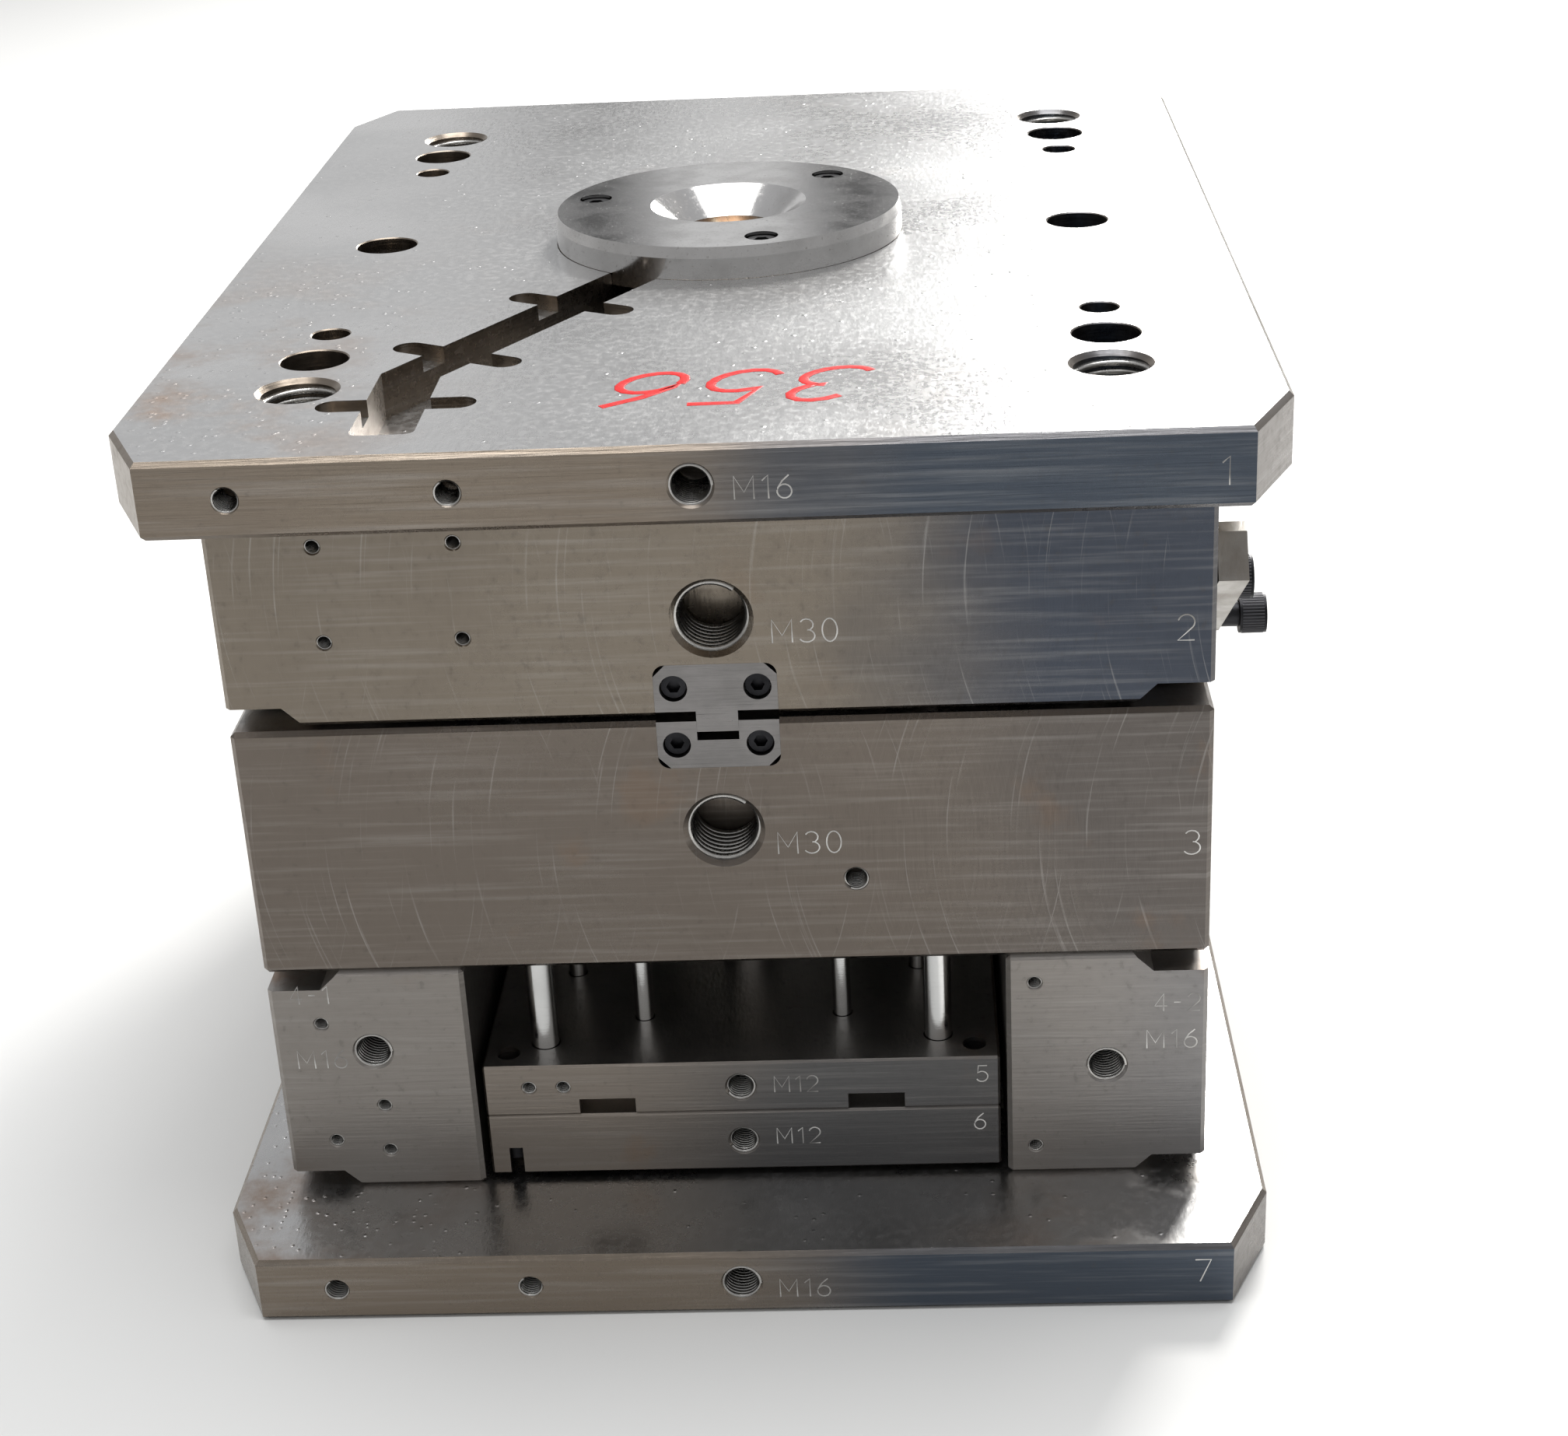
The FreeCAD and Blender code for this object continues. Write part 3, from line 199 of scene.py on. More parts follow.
def start_material(name):
    """A material with its tree, shader, place and surface direction, in the piece's own axes."""
    material = bpy.data.materials.new(name)
    material.use_nodes = True
    tree = material.node_tree
    at = put(tree, "TexCoord")
    place = put(tree, "SeparateXYZ", {"Vector": at.outputs["Object"]})
    faces = put(tree, "SeparateXYZ", {"Vector": at.outputs["Normal"]})
    return material, tree, tree.nodes["Principled BSDF"], at.outputs["Object"], place, faces


def finish_material(tree, shader, colour, roughness, height, depth, metallic=1.0):
    tree.links.new(colour, shader.inputs["Base Color"])
    tree.links.new(roughness, shader.inputs["Roughness"])
    shader.inputs["Metallic"].default_value = metallic
    bump = put(tree, "Bump", {"Height": height, "Strength": bump_strength, "Distance": depth})
    tree.links.new(bump.outputs["Normal"], shader.inputs["Normal"])


def dress(slot, material):
    """Gives a material to every solid of one material slot."""
    for part in frame["record"]["subparts"]:
        if part["material_slot"] == slot:
            mesh = nodes[part["node"]].data
            mesh.materials.clear()
            mesh.materials.append(material)


def painted_side_reflection(tree, where, x, ends, cloud, pale, sunlit_reflection, shaded_reflection, turn):
    """Painted shade and reflection on the sides: darker than the top, beige going dark blue from
    turn to the right on the ends, as a sunlit and a shaded floor would reflect, with pale streaks.
    """
    drift = sums(tree, "MULTIPLY", sums(tree, "SUBTRACT", cloud, 0.5), 0.12)
    drift = sums(tree, "ADD", x, drift)
    # Painted reflection of a shaded floor: the front and back faces go dark blue right of turn.
    shaded_reflection_share = sums(tree, "MULTIPLY", band(tree, drift, turn - 0.05, turn + 0.07), ends)
    streak = noise(tree, where, 24.0, 6.0, stretch=(0.5, 0.5, 16))
    streaks = band(tree, streak, 0.45, 0.8, 0, 0.14)
    return mixed(tree, streaks, mixed(tree, shaded_reflection_share, sunlit_reflection, shaded_reflection), pale)


def brown_stains(tree, left, x, y, patch, top, stain):
    """Patches at the front left and near the front, over a thin even share of stain."""
    near = sums(tree, "MULTIPLY", band(tree, x, *stain_near_x), band(tree, y, *stain_near_y))
    zone = sums(tree, "ADD", left, sums(tree, "MULTIPLY", near, 0.55))
    stained = sums(tree, "MULTIPLY", band(tree, patch, 0.42, 0.66), zone)
    stained = sums(tree, "MULTIPLY", stained, top)
    thin = sums(tree, "MULTIPLY", band(tree, patch, 0.60, 0.72), stain)
    return sums(tree, "ADD", stained, thin)


def arc_lines(tree, x, z, arc, arc_height):
    """Two sets of fine arcs of the given radius, bowed to the left and to the right."""
    rise = sums(tree, "SUBTRACT", z, arc_height)
    reach = sums(tree, "SUBTRACT", arc * arc, sums(tree, "MULTIPLY", rise, rise))
    bow = sums(tree, "SQRT", sums(tree, "MAXIMUM", reach, 0.0))
    lines = []
    for way in ("ADD", "SUBTRACT"):
        across = {"X": sums(tree, way, x, bow), "Z": sums(tree, "MULTIPLY", z, 0.02)}
        along = put(tree, "CombineXYZ", across).outputs["Vector"]
        lines.append(noise(tree, along, 520.0, 5.0))
    return lines


def oil_drops(tree, where, left, cloud, top, wet):
    """Round drops that stand closest at the front left of the top."""
    cells = put(tree, "TexVoronoi", {"Vector": where, "Scale": 260.0, "Randomness": 1.0})
    chosen = put(tree, "SeparateColor", {"Color": cells.outputs["Color"]}).outputs[0]
    crowd = band(tree, sums(tree, "ADD", left, cloud), 0.45, 1.1, 0.965, 0.62)
    drops = sums(tree, "MULTIPLY", band(tree, cells.outputs["Distance"], 0.34, 0.02),
                 sums(tree, "GREATER_THAN", chosen, crowd))
    return sums(tree, "MULTIPLY", drops, sums(tree, "MULTIPLY", top, 0.9 * wet))


def ground_plate(name, pale, deep, sunlit_reflection, shaded_reflection, gloss=0.27, turn=0.02, arc=0.0, arc_height=0.0,
                 wet=0.0, stain=0.10):
    """Ground tool steel: pale on top, its sides painted darker as shade and painted with a
    reflection of the floor, beige going dark blue from turn on.
    arc is the radius of the grinding marks on the ends, wet the share of drops on the top."""
    material, tree, shader, where, place, faces = start_material(name)
    x, y, z = place.outputs
    top = band(tree, faces.outputs["Z"], 0.75, 0.95)
    ends = sums(tree, "ABSOLUTE", faces.outputs["Y"])
    cloud = noise(tree, where, 8.0, 5.0)
    speck = noise(tree, where, 260.0, 4.0)
    patch = noise(tree, where, 17.0, 7.0, roughness=0.62)
    left = sums(tree, "MULTIPLY", band(tree, x, *stain_left_x), band(tree, y, *stain_left_y))

    # Sides: painted shade and a painted reflection of a sunlit and a shaded floor, with pale
    # streaks.
    side_shade_and_reflection = painted_side_reflection(tree, where, x, ends, cloud, pale, sunlit_reflection, shaded_reflection, turn)
    upper = mixed(tree, band(tree, cloud, 0.32, 0.68), pale, deep)
    stained = brown_stains(tree, left, x, y, patch, top, stain)
    film = sums(tree, "MULTIPLY", band(tree, x, *film_x), band(tree, patch, 0.46, 0.54))
    film = sums(tree, "MULTIPLY", film, sums(tree, "MULTIPLY", top, wet))
    # Top faces keep the steel's own tone; all other faces take the painted shade and reflection.
    colour = mixed(tree, top, side_shade_and_reflection, upper)
    browned = sums(tree, "MULTIPLY", stained, 0.75, clamp=True)
    colour = mixed(tree, browned, colour, stain_brown)
    colour = mixed(tree, band(tree, speck, 0.60, 0.75, 0, 0.22), colour, speck_dark)
    colour = mixed(tree, sums(tree, "MULTIPLY", film, 0.6), colour, film_white)

    dull = sums(tree, "MULTIPLY", sums(tree, "ADD", stained, film), 0.16)
    rough = sums(tree, "ADD", band(tree, cloud, 0.3, 0.7, gloss - 0.05, gloss + 0.07), dull)
    rough = sums(tree, "ADD", rough, band(tree, speck, 0.4, 0.8, 0, 0.10))

    if arc:
        first, second = arc_lines(tree, x, z, arc, arc_height)
        marks = sums(tree, "MULTIPLY", sums(tree, "ADD", first, second), 0.32)
        scratch = sums(tree, "MAXIMUM", band(tree, first, 0.60, 0.72),
                       band(tree, second, 0.64, 0.76))
        scratch = sums(tree, "MULTIPLY", scratch, sums(tree, "MULTIPLY", ends, scratch_share))
        colour = mixed(tree, scratch, colour, pale)
    else:
        straight = noise(tree, where, 90.0, 5.0, stretch=(0.35, 0.35, 11))
        marks = sums(tree, "MULTIPLY", straight, 0.35)
    swirl = noise(tree, where, 420.0, 3.0, stretch=(1, 0.35, 1))
    ripple = sums(tree, "ADD", sums(tree, "MULTIPLY", swirl, 0.35),
                  oil_drops(tree, where, left, cloud, top, wet))
    height = put(tree, "Mix", {0: top, 2: marks, 3: ripple}).outputs[0]
    finish_material(tree, shader, colour, rough, height, plate_bump)
    return material


dress("plate_steel", ground_plate("plate_steel", clamp_pale, clamp_deep, clamp_sunlit_reflection, clamp_shaded_reflection,
                                  wet=1.0))

# ---- cavity plate ------------------------------------------------------------------------
# The fixed half's plate, ground on a rotary table, so its ends carry fine arcs under the oil.
# Its two side tones are a painted reflection of the floor, sunlit and shaded.
cavity_steel = ground_plate("cavity_plate_steel", (0.58, 0.57, 0.55), (0.44, 0.43, 0.42),
                            (0.20, 0.172, 0.14), (0.062, 0.070, 0.088), turn=0.07, arc=0.15,
                            arc_height=0.305, stain=0.12)
dress("cavity_plate_steel", cavity_steel)

# ---- core plate --------------------------------------------------------------------------
# The moving half's plate, of the same ground steel, browner and with clearer arcs.
# Its two side tones are a painted reflection of the floor, sunlit and shaded.
core_steel = ground_plate("core_plate_steel", (0.56, 0.54, 0.52), (0.42, 0.41, 0.40),
                          (0.16, 0.137, 0.117), (0.118, 0.106, 0.098), turn=0.10, arc=0.15,
                          arc_height=0.195, stain=0.22)
dress("core_plate_steel", core_steel)

# ---- spacer blocks -----------------------------------------------------------------------
# Two milled bars that carry the core plate over the ejector space, smooth and light grey.
# Its two side tones are a painted reflection of the floor, sunlit and shaded.
dress("spacer_steel", ground_plate("spacer_steel", (0.50, 0.49, 0.47), (0.40, 0.39, 0.38),
                                   (0.26, 0.24, 0.22), (0.21, 0.205, 0.205), gloss=0.33, turn=0.15,
                                   stain=0.2))

# ---- ejector plates ----------------------------------------------------------------------
# The pair of plates that carries the pins, darker, with a painted reflection that makes the left end
# lighter.
# Its two side tones are a painted reflection of the floor, sunlit and shaded.
dress("ejector_steel", ground_plate("ejector_steel", (0.46, 0.44, 0.42), (0.34, 0.33, 0.32),
                                    (0.24, 0.21, 0.18), (0.12, 0.118, 0.118), gloss=0.34, turn=-0.03,
                                    stain=0.35))


# ---- inserts -----------------------------------------------------------------------------
# Uncut blocks of prehardened steel, bolted into the pockets of both plates.
def plain_metal(name, colour, dark, gloss, stretch=(1, 1, 1), depth=0.0002, wear=0.4,
                scale=160.0):
    """Metal with clouds of a darker tone, fine grain along stretch and uneven gloss."""
    material, tree, shader, where, _, _ = start_material(name)
    cloud = noise(tree, where, 45.0, 5.0)
    grain = noise(tree, where, scale, 4.0, stretch=stretch)
    shade = mixed(tree, band(tree, cloud, 0.35, 0.7, 0, wear), colour, dark)
    shade = mixed(tree, band(tree, grain, 0.55, 0.8, 0, 0.3), shade, dark)
    rough = sums(tree, "ADD", band(tree, cloud, 0.3, 0.7, gloss - 0.04, gloss + 0.06),
                 band(tree, grain, 0.3, 0.8, 0, 0.08))
    finish_material(tree, shader, shade, rough, grain, depth)
    return material


dress("insert_steel", plain_metal("insert_steel", (0.45, 0.44, 0.43), (0.30, 0.29, 0.28), 0.32,
                                  stretch=(0.3, 0.3, 4)))


# ---- locating ring -----------------------------------------------------------------------
# A turned and faced ring that centres the mould in the machine. Fine lathe rings run round its
# face and cone, so lights draw out into fans.
spot_brown = (0.12, 0.10, 0.08)
lathe_depth = 0.000012


def turned_metal(name, colour, dark, gloss, pitch=900.0, across=0.25):
    """Lathe-turned metal: rings about the upright axis with a gloss that stretches across them."""
    material, tree, shader, where, _, _ = start_material(name)
    wave = {"Vector": where, "Scale": pitch, "Distortion": 0.4, "Detail": 2.0}
    rings = put(tree, "TexWave", wave, wave_type="RINGS", rings_direction="Z").outputs["Fac"]
    cloud = noise(tree, where, 60.0, 5.0)
    spots = noise(tree, where, 700.0, 3.0)
    shade = mixed(tree, band(tree, cloud, 0.4, 0.7, 0, 0.5), colour, dark)
    shade = mixed(tree, band(tree, spots, 0.62, 0.72, 0, 0.4), shade, spot_brown)
    rough = sums(tree, "ADD", band(tree, cloud, 0.3, 0.7, gloss - 0.03, gloss + 0.05),
                 band(tree, spots, 0.55, 0.75, 0, 0.15))
    finish_material(tree, shader, shade, rough, sums(tree, "MULTIPLY", rings, 0.4), lathe_depth)
    shader.inputs["Anisotropic"].default_value = across
    round_axis = put(tree, "Tangent", direction_type="RADIAL", axis="Z")
    tree.links.new(round_axis.outputs["Tangent"], shader.inputs["Tangent"])
    return material


dress("ring_steel", turned_metal("ring_steel", (0.62, 0.61, 0.60), (0.42, 0.41, 0.40), 0.13))

# ---- hot sprue ---------------------------------------------------------------------------
# The heated nozzle under the ring, straw and blue from its heat.
heat_straw, heat_brown, heat_blue = (0.45, 0.38, 0.28), (0.36, 0.22, 0.13), (0.16, 0.17, 0.26)
sprue, sprue_tree, sprue_shader, sprue_where, _, _ = start_material("sprue_steel")
heat = noise(sprue_tree, sprue_where, 40.0, 4.0)
straw = mixed(sprue_tree, band(sprue_tree, heat, 0.38, 0.55), heat_straw, heat_brown)
tinted = mixed(sprue_tree, band(sprue_tree, heat, 0.55, 0.7), straw, heat_blue)
finish_material(sprue_tree, sprue_shader, tinted, band(sprue_tree, heat, 0.3, 0.7, 0.24, 0.4),
                noise(sprue_tree, sprue_where, 500.0), 0.0001)
dress("sprue_steel", sprue)

# ---- bushes, pillars and washers ---------------------------------------------------------
# Turned parts that were left bright.
dress("turned_steel", turned_metal("turned_steel", (0.55, 0.54, 0.53), (0.36, 0.35, 0.34), 0.22))

# ---- interlocks --------------------------------------------------------------------------
# Hardened blocks let into both plates at the front and back, surface ground.
dress("lock_steel", plain_metal("lock_steel", (0.25, 0.24, 0.235), (0.15, 0.145, 0.14), 0.3,
                                stretch=(0.2, 0.2, 7), depth=0.0004))

# ---- safety strap ------------------------------------------------------------------------
# A flat bar on the right that keeps the halves shut in transport, sawn and drawn steel.
dress("strap_steel", plain_metal("strap_steel", (0.42, 0.41, 0.39), (0.22, 0.19, 0.16), 0.36,
                                 stretch=(1, 0.3, 0.3), depth=0.0005, wear=0.6))

# ---- guide, return and ejector pins ------------------------------------------------------
# Hardened and ground pins, the brightest metal in the mould, with a trace of oil.
dress("hardened_pin", plain_metal("hardened_pin", (0.70, 0.70, 0.69), (0.48, 0.47, 0.46), 0.13,
                                  stretch=(0.5, 0.5, 5), depth=0.00008, wear=0.3, scale=400.0))

# ---- ejector guide bushes ----------------------------------------------------------------
# Bronze sleeves that the guide pins run in.
dress("bronze", plain_metal("bronze", (0.60, 0.40, 0.20), (0.36, 0.22, 0.10), 0.3,
                            stretch=(1, 1, 5), depth=0.0002, wear=0.5))

# ---- cap screws --------------------------------------------------------------------------
# Black-oxide socket screws with worn, oily heads.
dress("black_screw", plain_metal("black_screw", (0.035, 0.035, 0.038), (0.012, 0.012, 0.013), 0.38,
                                 depth=0.0003, wear=0.7, scale=300.0))

# ---- screw threads -----------------------------------------------------------------------
# Every tapped hole carries its thread: a helix of the real pitch, cut by a tap, with its crests
# half a pitch in from the wall. The coils are one piece for each thread size and body.
thread_steel = plain_metal("thread_steel", (0.50, 0.49, 0.47), (0.24, 0.23, 0.22), 0.26,
                           scale=500.0)
mouth_clear = 0.0006
crest_share = 0.47


def socket_tree(name, inputs):
    """A node tree with geometry in and out and the named inputs of the given kinds."""
    tree = bpy.data.node_groups.new(name, "GeometryNodeTree")
    tree.interface.new_socket("Geometry", in_out="INPUT", socket_type="NodeSocketGeometry")
    for socket, kind in inputs:
        tree.interface.new_socket(socket, in_out="INPUT", socket_type="NodeSocket" + kind)
    tree.interface.new_socket("Geometry", in_out="OUTPUT", socket_type="NodeSocketGeometry")
    return tree, tree.nodes.new("NodeGroupInput").outputs, tree.nodes.new("NodeGroupOutput")


def grow(tree, kind, inputs=None, **settings):
    """Adds a geometry node and gives what it makes."""
    return put(tree, kind, inputs, family="GeometryNode", **settings).outputs[0]


def close_tree(tree, given, output, geometry):
    """Ends a tree: its copies become real mesh and take the given material."""
    solid = grow(tree, "RealizeInstances", {"Geometry": geometry})
    painted = grow(tree, "SetMaterial", {"Geometry": solid, "Material": given["Material"]})
    tree.links.new(painted, output.inputs["Geometry"])


def grown(name, seed, tree, values, body):
    """Runs a node tree on a seed mesh, keeps the result as plain mesh and rides it on a body."""
    piece = bpy.data.objects.new(name, seed)
    bpy.context.scene.collection.objects.link(piece)
    growth = piece.modifiers.new("growth", "NODES")
    growth.node_group = tree
    for item in tree.interface.items_tree:
        if item.in_out == "INPUT" and item.name in values:
            growth[item.identifier] = values[item.name]
    bpy.context.view_layer.update()
    seen = piece.evaluated_get(bpy.context.evaluated_depsgraph_get())
    solid = bpy.data.meshes.new_from_object(seen)
    piece.modifiers.clear()
    piece.data = solid
    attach(piece, body)
    return piece


coil_tree, coil_given, coil_out = socket_tree("coil", (
    ("Material", "Material"), ("Pitch", "Float"), ("Radius", "Float"), ("Depth", "Float"),
    ("Steps", "Int")))
coil_turns = sums(coil_tree, "DIVIDE", coil_given["Depth"], coil_given["Pitch"])
helix = grow(coil_tree, "CurveSpiral", {
    "Resolution": coil_given["Steps"], "Rotations": coil_turns, "Height": coil_given["Depth"],
    "Start Radius": coil_given["Radius"], "End Radius": coil_given["Radius"]})
helix = grow(coil_tree, "SetCurveNormal", {"Curve": helix}, mode="Z_UP")
crest = sums(coil_tree, "MULTIPLY", coil_given["Pitch"], crest_share)
ridge = grow(coil_tree, "CurvePrimitiveCircle", {"Resolution": 4, "Radius": crest})
coil = grow(coil_tree, "CurveToMesh", {"Curve": helix, "Profile Curve": ridge, "Fill Caps": True})
sunk = sums(coil_tree, "SUBTRACT", -mouth_clear, coil_given["Depth"])
shift = put(coil_tree, "CombineXYZ", {"Z": sunk}).outputs[0]
coil = grow(coil_tree, "Transform", {"Geometry": coil, "Translation": shift})
facing = grow(coil_tree, "InputNamedAttribute", {"Name": "turn"}, data_type="FLOAT_VECTOR")
coils = grow(coil_tree, "InstanceOnPoints",
             {"Points": coil_given["Geometry"], "Instance": coil, "Rotation": facing})
close_tree(coil_tree, coil_given, coil_out, coils)


def hole_mouths(mount, length):
    """The mouths of a mount's holes: one for a threaded hole, several for a pattern."""
    middle, axis, dims = Vector(mount["pos_m"]), Vector(mount["axis"]), mount["dims"]
    if mount["kind"] == "threaded_hole":
        return [middle + axis * length / 2]
    across = dims.get("spacing_x_mm", 0) / 2000 * Vector((1, 0, 0))
    other = Vector((0, 1, 0)) if abs(axis.z) > 0.5 else Vector((0, 0, 1))
    along = dims.get("spacing_y_mm", 0) / 2000 * other
    spots = {}
    for a in (-1, 1):
        for b in (-1, 1):
            spot = middle + a * across + b * along
            spots[tuple(round(c, 6) for c in spot)] = spot
    return list(spots.values())


def thread_pieces(size, pitch, steps, holes):
    """One piece of coils for each body. holes gives mount names, each with its body and depth."""
    made = {}
    for name, body, depth in holes:
        made.setdefault((body, depth), []).append(name)
    for (body, depth), names in made.items():
        spots, turn = [], []
        for name in names:
            mount = mounts[name]
            mouths = hole_mouths(mount, mount["dims"].get("length_mm", 0) / 1000)
            tilt = {1: 0.0, 0: math.pi / 2, -1: math.pi}[round(mount["axis"][2])]
            spots += mouths
            turn += [(tilt, 0.0, 0.0)] * len(mouths)
        seed = bpy.data.meshes.new("seed")
        seed.from_pydata(spots, [], [])
        seed.attributes.new("turn", "FLOAT_VECTOR", "POINT")
        for index, angles in enumerate(turn):
            seed.attributes["turn"].data[index].vector = angles
        dims = mounts[names[0]]["dims"]
        radius = dims.get("r_mm", dims.get("hole_r_mm")) / 1000
        values = {"Material": thread_steel, "Pitch": pitch, "Radius": radius, "Depth": depth,
                  "Steps": steps}
        grown("thread_%s_%s_%d" % (size, body, round(depth * 1000)), seed, coil_tree, values, body)


thread_pieces("m30", pitch=0.0035, steps=56, holes=(
    ("top_lifting_holes", "fixed_half", 0.026),
    ("cavity_lifting_hole", "fixed_half", 0.024),
    ("core_lifting_hole", "moving_half", 0.024),
))
thread_pieces("m16", pitch=0.002, steps=36, holes=(
    ("top_plate_handling_hole", "fixed_half", 0.026),
    ("bottom_plate_handling_hole", "moving_half", 0.026),
    ("left_spacer_handling_hole", "moving_half", 0.026),
    ("right_spacer_handling_hole", "moving_half", 0.026),
))
thread_pieces("m12", pitch=0.00175, steps=30, holes=(
    ("retainer_handling_hole", "ejector_set", 0.020),
    ("ejector_base_handling_hole", "ejector_set", 0.020),
))
thread_pieces("m10", pitch=0.0015, steps=24, holes=(
    ("top_plate_bracket_holes", "fixed_half", 0.016),
    ("bottom_plate_bracket_holes", "moving_half", 0.016),
    ("switch_hole", "moving_half", 0.014),
))
thread_pieces("m6", pitch=0.001, steps=18, holes=(
    ("terminal_box_holes", "fixed_half", 0.010),
    ("left_spacer_inner_pair", "moving_half", 0.010),
    ("left_spacer_outer_pair", "moving_half", 0.010),
    ("right_spacer_pair", "moving_half", 0.010),
    ("retainer_pair", "ejector_set", 0.010),
))

# ---- engraved marks ----------------------------------------------------------------------
# Plate numbers and thread sizes, cut with a round-nosed engraver in single strokes. The lip that
# the cutter throws up catches the light, so each stroke stands a hair proud.
stroke_radius = 0.0006
stroke_sink = 0.00048
letter_gap = 0.30
mark_steel = plain_metal("mark_steel", (0.72, 0.71, 0.69), (0.16, 0.15, 0.14), 0.45, wear=0.8)


def arc(x, z, wide, high, start, end, steps=12):
    turn = [math.radians(start + (end - start) * step / steps) for step in range(steps + 1)]
    return [(x + wide * math.cos(a), z + high * math.sin(a)) for a in turn]


glyphs = {
    "M": (0.80, [[(0, 0), (0, 1), (0.4, 0.3), (0.8, 1), (0.8, 0)]]),
    "0": (0.60, [arc(0.3, 0.5, 0.3, 0.5, 90, 450, 20)]),
    "1": (0.35, [[(0.05, 0.78), (0.3, 1), (0.3, 0)]]),
    "2": (0.60, [arc(0.3, 0.7, 0.3, 0.3, 165, -40) + [(0, 0), (0.6, 0)]]),
    "3": (0.60, [arc(0.28, 0.75, 0.27, 0.25, 150, -80, 8)
                 + arc(0.28, 0.27, 0.32, 0.27, 80, -150)]),
    "4": (0.62, [[(0.45, 0), (0.45, 1), (0, 0.3), (0.62, 0.3)]]),
    "5": (0.58, [[(0.55, 1), (0.08, 1), (0.03, 0.55)] + arc(0.26, 0.32, 0.32, 0.32, 120, -150)]),
    "6": (0.60, [[(0.5, 1), (0.22, 0.75), (0.04, 0.45)] + arc(0.3, 0.3, 0.3, 0.3, 170, -190, 16)]),
    "7": (0.60, [[(0, 1), (0.6, 1), (0.2, 0)]]),
    "-": (0.42, [[(0.04, 0.5), (0.38, 0.5)]]),
}


def lettering(words):
    """Edge mesh of words, each with its text, centre, height, directions to the right and up,
    and slant."""
    points, edges = [], []
    for text, centre, height, right, up, slant in words:
        length = sum(glyphs[letter][0] for letter in text) + letter_gap * (len(text) - 1)
        right, up = Vector(right), Vector(up)
        start = -length / 2
        for letter in text:
            width, strokes = glyphs[letter]
            for stroke in strokes:
                first = len(points)
                for x, z in stroke:
                    step = right * (start + x + slant * (z - 0.5)) + up * (z - 0.5)
                    points.append(Vector(centre) + step * height)
                edges += [(first + i, first + i + 1) for i in range(len(stroke) - 1)]
            start += width + letter_gap
    mesh = bpy.data.meshes.new("strokes")
    mesh.from_pydata(points, edges, [])
    return mesh


stroke_tree, stroke_given, stroke_out = socket_tree("stroke", (
    ("Material", "Material"), ("Radius", "Float"), ("Sink", "Vector")))
line = grow(stroke_tree, "MeshToCurve", {"Mesh": stroke_given["Geometry"]})
nose = grow(stroke_tree, "CurvePrimitiveCircle",
            {"Resolution": 8, "Radius": stroke_given["Radius"]})
groove = grow(stroke_tree, "CurveToMesh",
              {"Curve": line, "Profile Curve": nose, "Fill Caps": True})
groove = grow(stroke_tree, "Transform", {"Geometry": groove, "Translation": stroke_given["Sink"]})
close_tree(stroke_tree, stroke_given, stroke_out, groove)

front_reading = ((1, 0, 0), (0, 0, 1), 0.0)
top_reading = ((1, 0, 0), (0, 1, 0), 0.0)
top_from_behind = ((-1, 0, 0), (0, -1, 0), 0.0)
clamp_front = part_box("top_clamp_plate")[0].y
top_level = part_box("top_clamp_plate")[1].z
plate_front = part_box("core_plate")[0].y
ejector_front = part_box("ejector_retainer_plate")[0].y
front_marks = {
    "fixed_half": (
        ("M16", (0.0266, clamp_front, 0.3715), 0.009),
        ("1", (0.1954, clamp_front, 0.372), 0.011),
        ("M30", (0.037, plate_front, 0.2905), 0.010),
        ("2", (0.188, plate_front, 0.287), 0.011),
    ),
    "moving_half": (
        ("M30", (0.035, plate_front, 0.1955), 0.010),
        ("3", (0.192, plate_front, 0.191), 0.011),
        ("4-1", (-0.182, plate_front, 0.128), 0.0085),
        ("M16", (-0.180, plate_front, 0.096), 0.009),
        ("4-2", (0.187, plate_front, 0.115), 0.0085),
        ("M16", (0.185, plate_front, 0.097), 0.009),
        ("M16", (0.0267, clamp_front, 0.0122), 0.009),
        ("7", (0.1938, clamp_front, 0.0174), 0.011),
    ),
    "ejector_set": (
        ("M12", (0.024, ejector_front, 0.0765), 0.008),
        ("M12", (0.024, ejector_front, 0.0500), 0.008),
        ("5", (0.1044, ejector_front, 0.0797), 0.008),
        ("6", (0.103, ejector_front, 0.0555), 0.008),
    ),
}
for body, words in front_marks.items():
    seed = lettering([word + front_reading for word in words])
    grown("marks_front_" + body, seed, stroke_tree,
          {"Material": mark_steel, "Radius": stroke_radius, "Sink": (0, stroke_sink, 0)}, body)
top_marks = [("M30", (0.1605, -0.249, top_level), 0.012) + top_reading,
             ("M30", (0.1615, 0.243, top_level), 0.012) + top_from_behind]
grown("marks_top", lettering(top_marks), stroke_tree,
      {"Material": mark_steel, "Radius": stroke_radius, "Sink": (0, 0, -stroke_sink)}, "fixed_half")

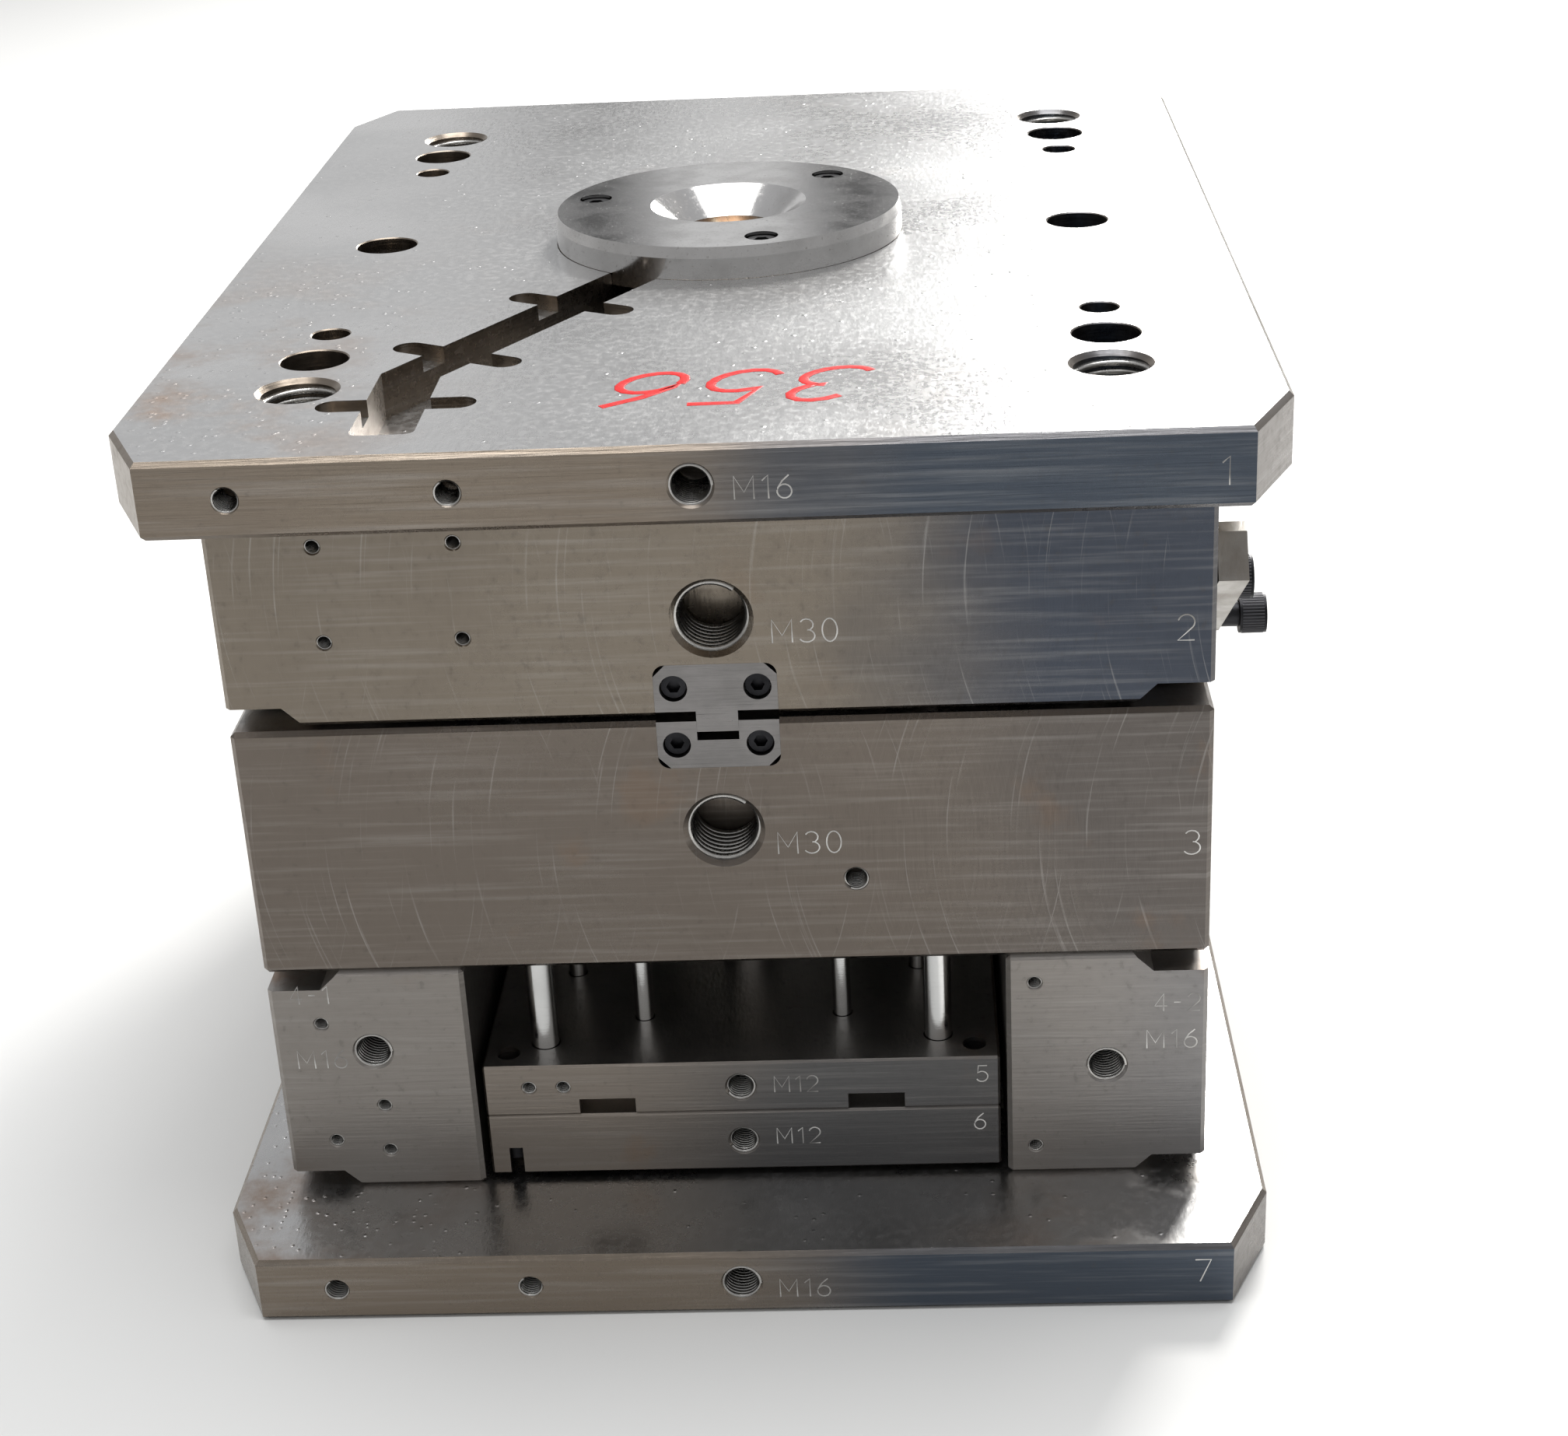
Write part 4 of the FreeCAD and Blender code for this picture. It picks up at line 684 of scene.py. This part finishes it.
# ---- painted number ----------------------------------------------------------------------
# A stock number brushed on the top plate in red paint, to be read from the back.
paint_half_width = 0.0021
paint_flatness = 0.09
paint_swell, paint_tip = 0.6, 0.5
paint_red, paint_thin = (0.58, 0.008, 0.008), (0.40, 0.006, 0.006)
red_paint, red_tree, red_shader, red_where, _, _ = start_material("red_paint")
thin = noise(red_tree, red_where, 240.0, 5.0)
red = mixed(red_tree, band(red_tree, thin, 0.45, 0.75), paint_red, paint_thin)
finish_material(red_tree, red_shader, red, band(red_tree, thin, 0.3, 0.7, 0.35, 0.55), thin,
                0.0003, metallic=0.0)
red_shader.inputs["Specular IOR Level"].default_value = 0.2
brush_tree, brush_given, brush_out = socket_tree("brush", (
    ("Material", "Material"), ("Radius", "Float"), ("Flatness", "Vector"), ("Level", "Vector")))
path = grow(brush_tree, "MeshToCurve", {"Mesh": brush_given["Geometry"]})
along = grow(brush_tree, "SplineParameter")
swell = sums(brush_tree, "SINE", sums(brush_tree, "MULTIPLY", along, math.pi))
swell = sums(brush_tree, "MULTIPLY_ADD", swell, paint_swell, paint_tip)
path = grow(brush_tree, "SetCurveRadius", {"Curve": path, "Radius": swell})
tip = grow(brush_tree, "CurvePrimitiveCircle", {"Resolution": 10, "Radius": brush_given["Radius"]})
swept = grow(brush_tree, "CurveToMesh", {"Curve": path, "Profile Curve": tip, "Fill Caps": True})
swept = grow(brush_tree, "Transform", {
    "Geometry": swept, "Translation": brush_given["Level"], "Scale": brush_given["Flatness"]})
close_tree(brush_tree, brush_given, brush_out, swept)
number = lettering([("356", (0.014, -0.232, 0.0), 0.040, (-1, 0, 0), (0, -1, 0), 0.35)])
grown("painted_number", number, brush_tree,
      {"Material": red_paint, "Radius": paint_half_width, "Flatness": (1, 1, paint_flatness),
       "Level": (0, 0, top_level)}, "fixed_half")

# ---- knurled screw heads -----------------------------------------------------------------
# The two screws of the safety strap show their heads, which are knurled along the axis for grip.
ridge_count = 40
ridge_radius = 0.0005
ridge_sunk = 0.6
head_chamfers = 0.0024
height_to_radius = 4 / 3
oxide = bpy.data.materials["black_screw"]
knurl_tree, knurl_given, knurl_out = socket_tree("knurl", (
    ("Material", "Material"), ("Count", "Int"), ("Head radius", "Float"), ("Ridge radius", "Float"),
    ("Ridge length", "Float"), ("Place", "Vector")))
ring = grow(knurl_tree, "MeshCircle",
            {"Vertices": knurl_given["Count"], "Radius": knurl_given["Head radius"]})
rib = grow(knurl_tree, "MeshCylinder", {
    "Vertices": 8, "Radius": knurl_given["Ridge radius"], "Depth": knurl_given["Ridge length"]})
ribs = grow(knurl_tree, "InstanceOnPoints", {"Points": ring, "Instance": rib})
ribs = grow(knurl_tree, "Transform", {
    "Geometry": ribs, "Rotation": (0, math.pi / 2, 0), "Translation": knurl_given["Place"]})
close_tree(knurl_tree, knurl_given, knurl_out, ribs)
for node, body in (("parked_transport_screw", "moving_half"), ("strap_pivot_screw", "fixed_half")):
    low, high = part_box(node)
    head_radius = (high.z - low.z) / 2
    head_height = head_radius * height_to_radius
    centre = (high.x - head_height / 2, (low.y + high.y) / 2, (low.z + high.z) / 2)
    grown("knurl_" + node, bpy.data.meshes.new("seed"), knurl_tree,
          {"Material": oxide, "Count": ridge_count, "Ridge radius": ridge_radius,
           "Head radius": head_radius - ridge_radius * ridge_sunk,
           "Ridge length": head_height - head_chamfers, "Place": centre}, body)
